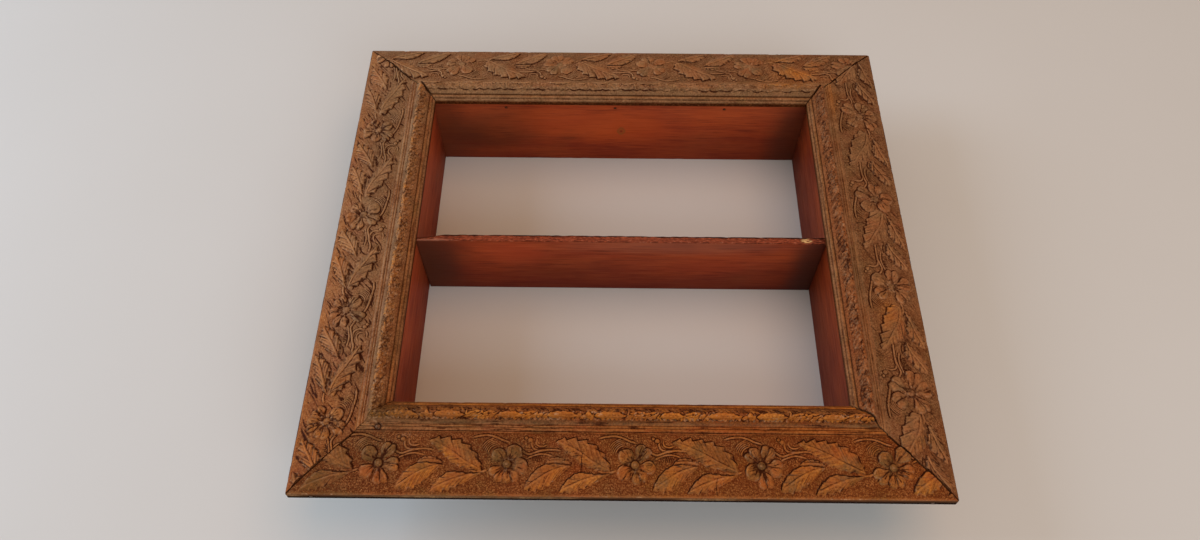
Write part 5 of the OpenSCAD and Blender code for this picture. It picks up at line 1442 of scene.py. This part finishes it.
def bronze(name, raw=False):
    """Tarnished bronze gilt over composition: brown, orange where it is rubbed and where highlights are painted,
    black-brown in the hollows and where shade is painted.
    """
    k = Nodes(name)
    co = k.co
    dirt_and_shade, high, gold, grime, chip, ground = (k.attr(a) for a in ("dirt_and_shade", "high", "gold", "grime", "chip", "ground"))
    big = k.noise(co, 9.0, 3.0, 0.55)
    mid = k.noise(co, 60.0, 4.0, 0.6)
    small = k.noise(co, 420.0, 3.0, 0.6)
    grain = k.noise(co, 1500.0, 2.0, 0.6)
    tan = k.attr("tan")
    base = k.mix(k.ramp(mid, 0.34, 0.66), srgb(116, 58, 20), srgb(144, 82, 38))
    base = k.mix(k.ramp(big, 0.4, 0.7, 0.0, 0.4), base, srgb(130, 78, 34))
    dull = k.mix(k.ramp(mid, 0.34, 0.66), srgb(130, 90, 60), srgb(156, 116, 82))
    base = k.mix(tan, base, dull)
    # patches of olive tarnish and of rust-brown
    base = k.mix(k.ramp(k.noise(k.scale(co, (1, 1, 1), (0.31, 0.17, 0)), 42.0, 3.0, 0.6), 0.52, 0.68, 0.0, 0.5), base, k.mix(tan, srgb(104, 70, 28), srgb(120, 94, 60)))
    base = k.mix(k.ramp(k.noise(k.scale(co, (1, 1, 1), (0.0, 0.63, 0.2)), 50.0, 3.0, 0.6), 0.54, 0.70, 0.0, 0.5), base, k.mix(tan, srgb(140, 58, 20), srgb(140, 92, 70)))
    base = k.mix(k.ramp(small, 0.5, 0.68, 0.0, 0.62), base, srgb(82, 32, 6))
    base = k.mix(k.ramp(small, 0.45, 0.30, 0.0, 0.42), base, k.mix(tan, srgb(168, 106, 58), srgb(180, 138, 96)))
    lit = k.mix(tan, k.mix(k.ramp(small, 0.3, 0.7), srgb(172, 106, 48), srgb(146, 82, 32)), srgb(184, 142, 100))
    base = k.mix(k.m("MULTIPLY", high, 0.5, clamp=True), base, lit)
    g = k.m("MULTIPLY", gold, k.m("ADD", 0.62, k.m("MULTIPLY", high, 0.5)), clamp=True)
    base = k.mix(g, base, k.mix(k.ramp(small, 0.3, 0.7), srgb(206, 132, 50), srgb(172, 96, 30)))
    olive = k.mix(k.ramp(mid, 0.35, 0.65), srgb(84, 61, 38), srgb(114, 87, 57))
    base = k.mix(k.m("MULTIPLY", grime, k.ramp(small, 0.3, 0.65, 0.35, 0.9), clamp=True), base, olive)
    # parts that have gone olive, and parts that have gone red
    base = k.mix(k.m("MULTIPLY", k.attr("cool"), k.ramp(small, 0.3, 0.65, 0.45, 0.75), clamp=True), base, k.mix(tan, srgb(96, 68, 32), srgb(126, 98, 68)))
    base = k.mix(k.m("MULTIPLY", k.attr("warm"), k.ramp(small, 0.3, 0.65, 0.6, 0.35), clamp=True), base, k.mix(tan, srgb(156, 74, 30), srgb(148, 90, 50)))
    # matted ground
    dots = k.cells(co, 540.0, 0.9)
    weak = k.m("MULTIPLY", ground, k.ramp(tan, 0.1, 0.8, 0.7, 0.3))
    pits = k.m("MULTIPLY", k.ramp(dots, 0.34, 0.6, 0.0, 1.0), weak)
    base = k.mix(pits, base, srgb(84, 32, 6))
    tops = k.m("MULTIPLY", k.ramp(dots, 0.08, 0.3, 1.0, 0.0), weak)
    base = k.mix(k.m("MULTIPLY", tops, 0.7, clamp=True), base, k.mix(tan, srgb(166, 98, 48), srgb(174, 132, 92)))
    # crisp flecks, light and dark, that lie over leaves and ground alike
    crisp = k.noise(k.scale(co, (1, 1, 1), (0.7, 0.2, 0.4)), 640.0, 1.5, 0.6)
    where = k.ramp(k.noise(k.scale(co, (1, 1, 1), (0.1, 0.9, 0.6)), 34.0, 2.0, 0.6), 0.35, 0.6, 0.35, 1.0)
    where = k.m("MULTIPLY", where, k.m("ADD", 0.5, k.m("MULTIPLY", ground, 0.5)), clamp=True)
    base = k.mix(k.m("MULTIPLY", k.ramp(crisp, 0.55, 0.63, 0.0, 0.55), where), base, srgb(66, 26, 6))
    base = k.mix(k.m("MULTIPLY", k.ramp(crisp, 0.44, 0.36, 0.0, 0.42), where), base, k.mix(tan, srgb(186, 122, 66), srgb(190, 146, 100)))
    # black-brown where dirt lies and where shade is painted
    base = k.mix(k.ramp(k.m("MULTIPLY", dirt_and_shade, k.ramp(small, 0.25, 0.6, 0.75, 1.15)), 0.15, 0.85, 0.0, 0.95), base, srgb(50, 15, 1))
    # pale where chips show the ground and where highlight rims are painted
    base = k.mix(k.m("MULTIPLY", chip, k.ramp(small, 0.36, 0.6), clamp=True), base, srgb(198, 152, 112))
    # pinhead flecks where the finish is gone
    fleck = k.m("MULTIPLY", k.ramp(k.cells(co, 95.0, 1.0), 0.0, 0.085, 1.0, 0.0), k.ramp(mid, 0.5, 0.7))
    base = k.mix(k.m("MULTIPLY", fleck, 0.45), base, srgb(196, 156, 110))
    if raw:
        wood = k.noise(k.scale(co, (1.0, 1.0, 9.0)), 55.0, 4.0, 0.6)
        # the bare outer face is nearly black below 103.5 mm and brown above it: painted shade on its lower part
        bare = k.mix(k.ramp(k.axis(2), 0.1035, 0.1075), k.mix(k.ramp(wood, 0.3, 0.7), srgb(26, 13, 7), srgb(40, 22, 13)), k.mix(k.ramp(wood, 0.3, 0.7), srgb(66, 38, 20), srgb(104, 66, 38)))
        rw = k.attr("raw")
        dark = k.mix(k.m("MULTIPLY", dirt_and_shade, 0.85), bare, srgb(26, 18, 14))
        worn = k.mix(k.m("MULTIPLY", chip, k.ramp(small, 0.3, 0.55), clamp=True), dark, srgb(168, 126, 84))
        base = k.mix(rw, base, worn)
    k.put(k.b.inputs["Base Color"], base)
    rough = k.ramp(k.m("ADD", k.m("MULTIPLY", mid, 0.6), k.m("MULTIPLY", small, 0.4)), 0.3, 0.7, 0.42, 0.62, "LINEAR")
    rough = k.m("ADD", rough, k.m("MULTIPLY", dirt_and_shade, 0.2), clamp=True)
    metal = k.m("MULTIPLY", k.ramp(dirt_and_shade, 0.0, 0.6, 1.0, 0.1), 0.22)
    if raw:
        metal = k.m("MULTIPLY", metal, k.ramp(rw, 0.0, 1.0, 1.0, 0.0))
        rough = k.m("ADD", rough, k.m("MULTIPLY", rw, 0.4), clamp=True)
    k.put(k.b.inputs["Roughness"], rough)
    k.put(k.b.inputs["Metallic"], metal)
    k.b.inputs["Specular IOR Level"].default_value = 0.05
    n = k.bump(small, 0.0002, 0.8)
    n = k.bump(k.m("MULTIPLY", k.ramp(dots, 0.1, 0.6, 1.0, 0.0), k.m("ADD", 0.08, ground)), 0.00045, 1.0, n)
    n = k.bump(crisp, 0.00025, 0.7, n)
    n = k.bump(grain, 0.00006, 0.6, n)
    k.put(k.b.inputs["Normal"], n)
    return k.mat


def stained(name, along, knot=None, front=False, shade=1.0, foot=0.62, painted_sheen=0.12, stains_and_painted_light=()):
    """Red-brown stained softwood with its grain along X or Y."""
    k = Nodes(name)
    co = k.co
    sc = (1.0, 14.0, 14.0) if along == "x" else (14.0, 1.0, 14.0)
    g1 = k.noise(k.scale(co, sc), 9.0, 5.0, 0.62, 0.6)
    g2 = k.noise(k.scale(co, tuple(3.2 * s if s > 1 else 1.5 for s in sc)), 14.0, 4.0, 0.65)
    g3 = k.noise(k.scale(co, tuple(0.22 * s if s > 1 else 1.0 for s in sc)), 11.0, 3.0, 0.5)
    blot = k.noise(co, 11.0, 3.0, 0.5)
    z = k.axis(2)
    base = k.mix(k.ramp(g3, 0.3, 0.7), srgb(166, 60, 20), srgb(194, 82, 30))
    base = k.mix(k.ramp(g1, 0.42, 0.68, 0.0, 0.34), base, srgb(118, 36, 12))
    base = k.mix(k.ramp(g2, 0.51, 0.64, 0.0, 0.6), base, srgb(92, 26, 8))
    base = k.mix(k.ramp(g2, 0.46, 0.33, 0.0, 0.46), base, srgb(210, 100, 46))
    base = k.mix(k.ramp(blot, 0.55, 0.8, 0.0, 0.4), base, srgb(150, 74, 22))
    base = k.mix(k.ramp(blot, 0.25, 0.42, 0.5, 0.0), base, srgb(124, 42, 10))
    # darker towards the bottom of the box: painted shade
    base = k.mix(k.ramp(z, 0.0, 0.11, foot, 0.0, "LINEAR"), base, srgb(84, 16, 3))
    # large darker and brighter patches: (centre, reach) along the grain and in depth; some are stains, the dark ones
    # at the board ends are painted shade in the box corners and a pale grey one on the shelf is a painted sheen
    for (sx, sz), (rx, rz), amount, colour in stains_and_painted_light:
        v = k.t.nodes.new("ShaderNodeCombineXYZ")
        k.put(v.inputs[0], k.m("DIVIDE", k.m("SUBTRACT", k.axis(0 if along == "x" else 1), sx), rx))
        k.put(v.inputs[1], k.m("DIVIDE", k.m("SUBTRACT", z, sz), rz))
        ln = k.t.nodes.new("ShaderNodeVectorMath")
        ln.operation = "LENGTH"
        k.put(ln.inputs[0], v.outputs[0])
        e = k.m("ADD", ln.outputs["Value"], k.ramp(blot, 0.2, 0.8, -0.35, 0.35, "LINEAR"))
        e = k.m("ADD", e, k.ramp(g2, 0.3, 0.7, -0.18, 0.18, "LINEAR"))
        base = k.mix(k.ramp(e, 0.25, 1.15, amount, 0.0), base, srgb(*colour))
    # a pale painted sheen that is strongest near the front
    base = k.mix(k.m("MULTIPLY", k.ramp(z, 0.03, 0.112, 0.35, 1.0), k.ramp(blot, 0.3, 0.7, painted_sheen * 0.6, painted_sheen * 1.4, "LINEAR")), base, srgb(150, 104, 86))
    if knot:
        n = k.t.nodes.new("ShaderNodeVectorMath")
        n.operation = "DISTANCE"
        k.put(n.inputs[0], k.scale(co, (1.0, 1.0, 0.62)))
        n.inputs[1].default_value = (knot[0], knot[1], knot[2] * 0.62)
        r = k.m("ADD", n.outputs["Value"], k.ramp(g1, 0.3, 0.7, -0.0009, 0.0009))
        ring = k.m("MULTIPLY", k.ramp(r, 0.0012, 0.0026), k.ramp(r, 0.0044, 0.0062, 1.0, 0.0))
        base = k.mix(k.m("MULTIPLY", ring, 0.6), base, srgb(128, 78, 30))
        base = k.mix(k.ramp(r, 0.0006, 0.0020, 0.55, 0.0), base, srgb(80, 30, 12))
    x, y = k.axis(0), k.axis(1)
    # darker towards the ends of the boards: painted shade in the corners of the box
    e = k.m("ABSOLUTE", x if along == "x" else y)
    base = k.mix(k.m("MULTIPLY", k.ramp(e, 0.19 if along == "x" else 0.165, 0.245 if along == "x" else 0.215, 0.0, 0.5), k.ramp(blot, 0.3, 0.65, 0.3, 1.0)), base, srgb(84, 46, 28))
    if front:
        ed = k.attr("edge")
        saw = k.noise(k.scale(co, (3.0, 30.0, 3.0)), 60.0, 3.0, 0.6)
        lighter = k.mix(k.ramp(saw, 0.42, 0.6), srgb(150, 70, 42), srgb(84, 30, 14))
        torn = k.noise(k.scale(co, (1.0, 4.0, 1.0)), 230.0, 3.0, 0.65)
        lighter = k.mix(k.ramp(torn, 0.5, 0.62, 0.0, 0.85), lighter, srgb(46, 16, 8))
        lighter = k.mix(k.ramp(torn, 0.42, 0.34, 0.0, 0.7), lighter, srgb(178, 112, 84))
        base = k.mix(k.m("MULTIPLY", ed, 0.85), base, lighter)
        rim = k.m("ADD", k.axis(1), k.ramp(k.noise(k.scale(co, (1.0, 0.2, 0.2)), 70.0, 4.0, 0.65), 0.3, 0.7, -0.0012, 0.0012, "LINEAR"))
        base = k.mix(k.m("MULTIPLY", k.m("MULTIPLY", ed, k.ramp(rim, 0.0074, 0.0086)), 0.92), base, srgb(34, 10, 4))
        # a thin pale line along the near arris at the left end: painted highlight
        base = k.mix(k.m("MULTIPLY", k.m("MULTIPLY", ed, k.ramp(k.axis(0), -0.190, -0.225)), k.m("MULTIPLY", k.ramp(rim, 0.0040, 0.0030), 0.45)), base, srgb(190, 130, 104))
    base = k.mix(k.m("MULTIPLY", k.attr("dirt_and_shade"), 0.85), base, srgb(30, 15, 10))
    raw = k.attr("raw")
    old = k.mix(k.ramp(g1, 0.35, 0.65), srgb(112, 70, 42), srgb(148, 98, 60))
    base = k.mix(k.m("MULTIPLY", raw, 0.8), base, old)
    sp = k.attr("splinter")
    fib = k.noise(k.scale(co, (2.0, 12.0, 2.0)), 90.0, 2.0, 0.6)
    base = k.mix(k.m("MULTIPLY", sp, k.ramp(fib, 0.42, 0.56), clamp=True), base, srgb(216, 178, 118))
    # the whole board darkened towards black: painted shade
    if shade < 1.0:
        base = k.mix(1.0 - shade, base, (0.0, 0.0, 0.0))
    k.put(k.b.inputs["Base Color"], base)
    rough = k.m("ADD", k.ramp(g2, 0.3, 0.7, 0.52, 0.68, "LINEAR"), k.m("MULTIPLY", raw, 0.25), clamp=True)
    k.put(k.b.inputs["Roughness"], rough)
    k.b.inputs["Specular IOR Level"].default_value = 0.12
    n = k.bump(g1, 0.00025, 0.45)
    n = k.bump(g2, 0.00012, 0.55, n)
    k.put(k.b.inputs["Normal"], n)
    return k.mat


def iron(name):
    k = Nodes(name)
    a = k.noise(k.co, 300.0, 4.0, 0.6)
    c = k.mix(k.ramp(a, 0.35, 0.65), srgb(62, 40, 26), srgb(112, 78, 52))
    c = k.mix(k.ramp(k.noise(k.co, 900.0, 2.0), 0.55, 0.7, 0.0, 0.6), c, srgb(84, 48, 30))
    k.put(k.b.inputs["Base Color"], c)
    k.b.inputs["Metallic"].default_value = 0.75
    k.put(k.b.inputs["Roughness"], k.ramp(a, 0.3, 0.7, 0.32, 0.55, "LINEAR"))
    k.put(k.b.inputs["Normal"], k.bump(a, 0.0001, 0.6))
    return k.mat


GILT = bronze("bronze_gilt")
GILT_WOOD = bronze("bronze_gilt_on_wood", raw=True)
WOOD_X = stained("stained_wood_long", "x")
# the dark patches at and near the ends are painted shade in the box corners; the others are stains
WOOD_TOP = stained("stained_wood_knot", "x", knot=(0.002, 0.2137, 0.059), painted_sheen=0.1, stains_and_painted_light=(
    ((-0.165, 0.062), (0.085, 0.055), 0.62, (74, 36, 10)), ((-0.235, 0.05), (0.06, 0.09), 0.45, (64, 30, 14)), ((-0.03, 0.072), (0.17, 0.04), 0.5, (198, 80, 26)),
    ((0.238, 0.05), (0.045, 0.10), 0.6, (70, 38, 24)), ((0.13, 0.03), (0.09, 0.03), 0.3, (96, 30, 8)), ((0.12, 0.10), (0.12, 0.02), 0.3, (190, 84, 40))))
WOOD_LEFT = stained("stained_wood_left", "y", shade=0.95, painted_sheen=0.13)
# the right board darkened to about half: painted shade
WOOD_RIGHT = stained("stained_wood_right", "y", shade=0.54, painted_sheen=0.0)
# the dark patches at the ends are painted shade in the box corners, the pale grey one at the top middle is a painted
# sheen; the others are stains
WOOD_SHELF = stained("stained_wood_shelf", "x", front=True, shade=0.98, foot=0.85, painted_sheen=0.1, stains_and_painted_light=(
    ((-0.232, 0.06), (0.055, 0.12), 0.8, (58, 24, 12)), ((-0.13, 0.086), (0.05, 0.035), 0.5, (196, 76, 34)), ((0.06, 0.1), (0.17, 0.022), 0.42, (158, 100, 76)),
    ((-0.06, 0.05), (0.1, 0.035), 0.25, (104, 46, 20)), ((0.13, 0.06), (0.08, 0.03), 0.3, (180, 70, 30)), ((0.238, 0.05), (0.035, 0.12), 0.75, (58, 34, 30))))
IRON = iron("old_iron")


def dress(ob, mat):
    ob.data.materials.clear()
    ob.data.materials.append(mat)
    return ob


for side in ("bottom", "right", "top", "left"):
    dress(floral_band(side), GILT)
    dress(leaf_bead(side), GILT)
    dress(member(side), GILT_WOOD)
for which, mat in (("top", WOOD_TOP), ("bottom", WOOD_X), ("left", WOOD_LEFT), ("right", WOOD_RIGHT)):
    dress(board(which), mat)
dress(shelf_board(), WOOD_SHELF)
dress(domed_nail(), IRON)
for node in ("mitre_nails", "box_corner_nails", "shelf_nails", "frame_fixing_brads"):
    dress(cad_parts[node], IRON)

# ---------------------------------------------------------------- floor and light
me = bpy.data.meshes.new("floor")
me.from_pydata([(-6, -6, 0), (6, -6, 0), (6, 6, 0), (-6, 6, 0)], [], [(0, 1, 2, 3)])
floor = bpy.data.objects.new("floor", me)
bpy.context.scene.collection.objects.link(floor)
kf = Nodes("pale_floor")
kf.put(kf.b.inputs["Base Color"], kf.mix(kf.noise(kf.co, 2.2, 3.0), (0.598, 0.602, 0.585), (0.638, 0.648, 0.636)))
kf.b.inputs["Roughness"].default_value = 0.6
dress(floor, kf.mat)

world = bpy.data.worlds.new("World")
bpy.context.scene.world = world
world.use_nodes = True
bg = world.node_tree.nodes.get("Background") or world.node_tree.nodes.new("ShaderNodeBackground")
bg.inputs["Color"].default_value = (1.0, 0.88, 0.75, 1.0)
bg.inputs["Strength"].default_value = 0.41


def area(name, loc, aim, size, power, color):
    li = bpy.data.lights.new(name, "AREA")
    li.shape = "RECTANGLE"
    li.size, li.size_y = size
    li.energy = power
    li.color = color
    ob = bpy.data.objects.new(name, li)
    bpy.context.scene.collection.objects.link(ob)
    z = np.array(loc, float) - np.array(aim, float)
    z /= np.linalg.norm(z)
    x = np.cross([0, 1, 0.001], z)
    x /= np.linalg.norm(x)
    y = np.cross(z, x)
    ob.matrix_world = Matrix(((x[0], y[0], z[0], loc[0]), (x[1], y[1], z[1], loc[1]), (x[2], y[2], z[2], loc[2]), (0, 0, 0, 1)))
    return ob


area("warm_overhead", (0.6, 0.3, 2.6), (0, 0, 0.1), (2.0, 2.0), 19.5, (1.0, 0.50, 0.22))
area("near_fill", (0.9, -2.3, 1.9), (0, 0, 0.1), (2.2, 1.4), 32.0, (0.82, 0.90, 1.0))
area("cool_side", (-3.0, 0.6, 1.4), (0, 0, 0.1), (2.4, 1.8), 76.0, (0.66, 0.81, 1.0))
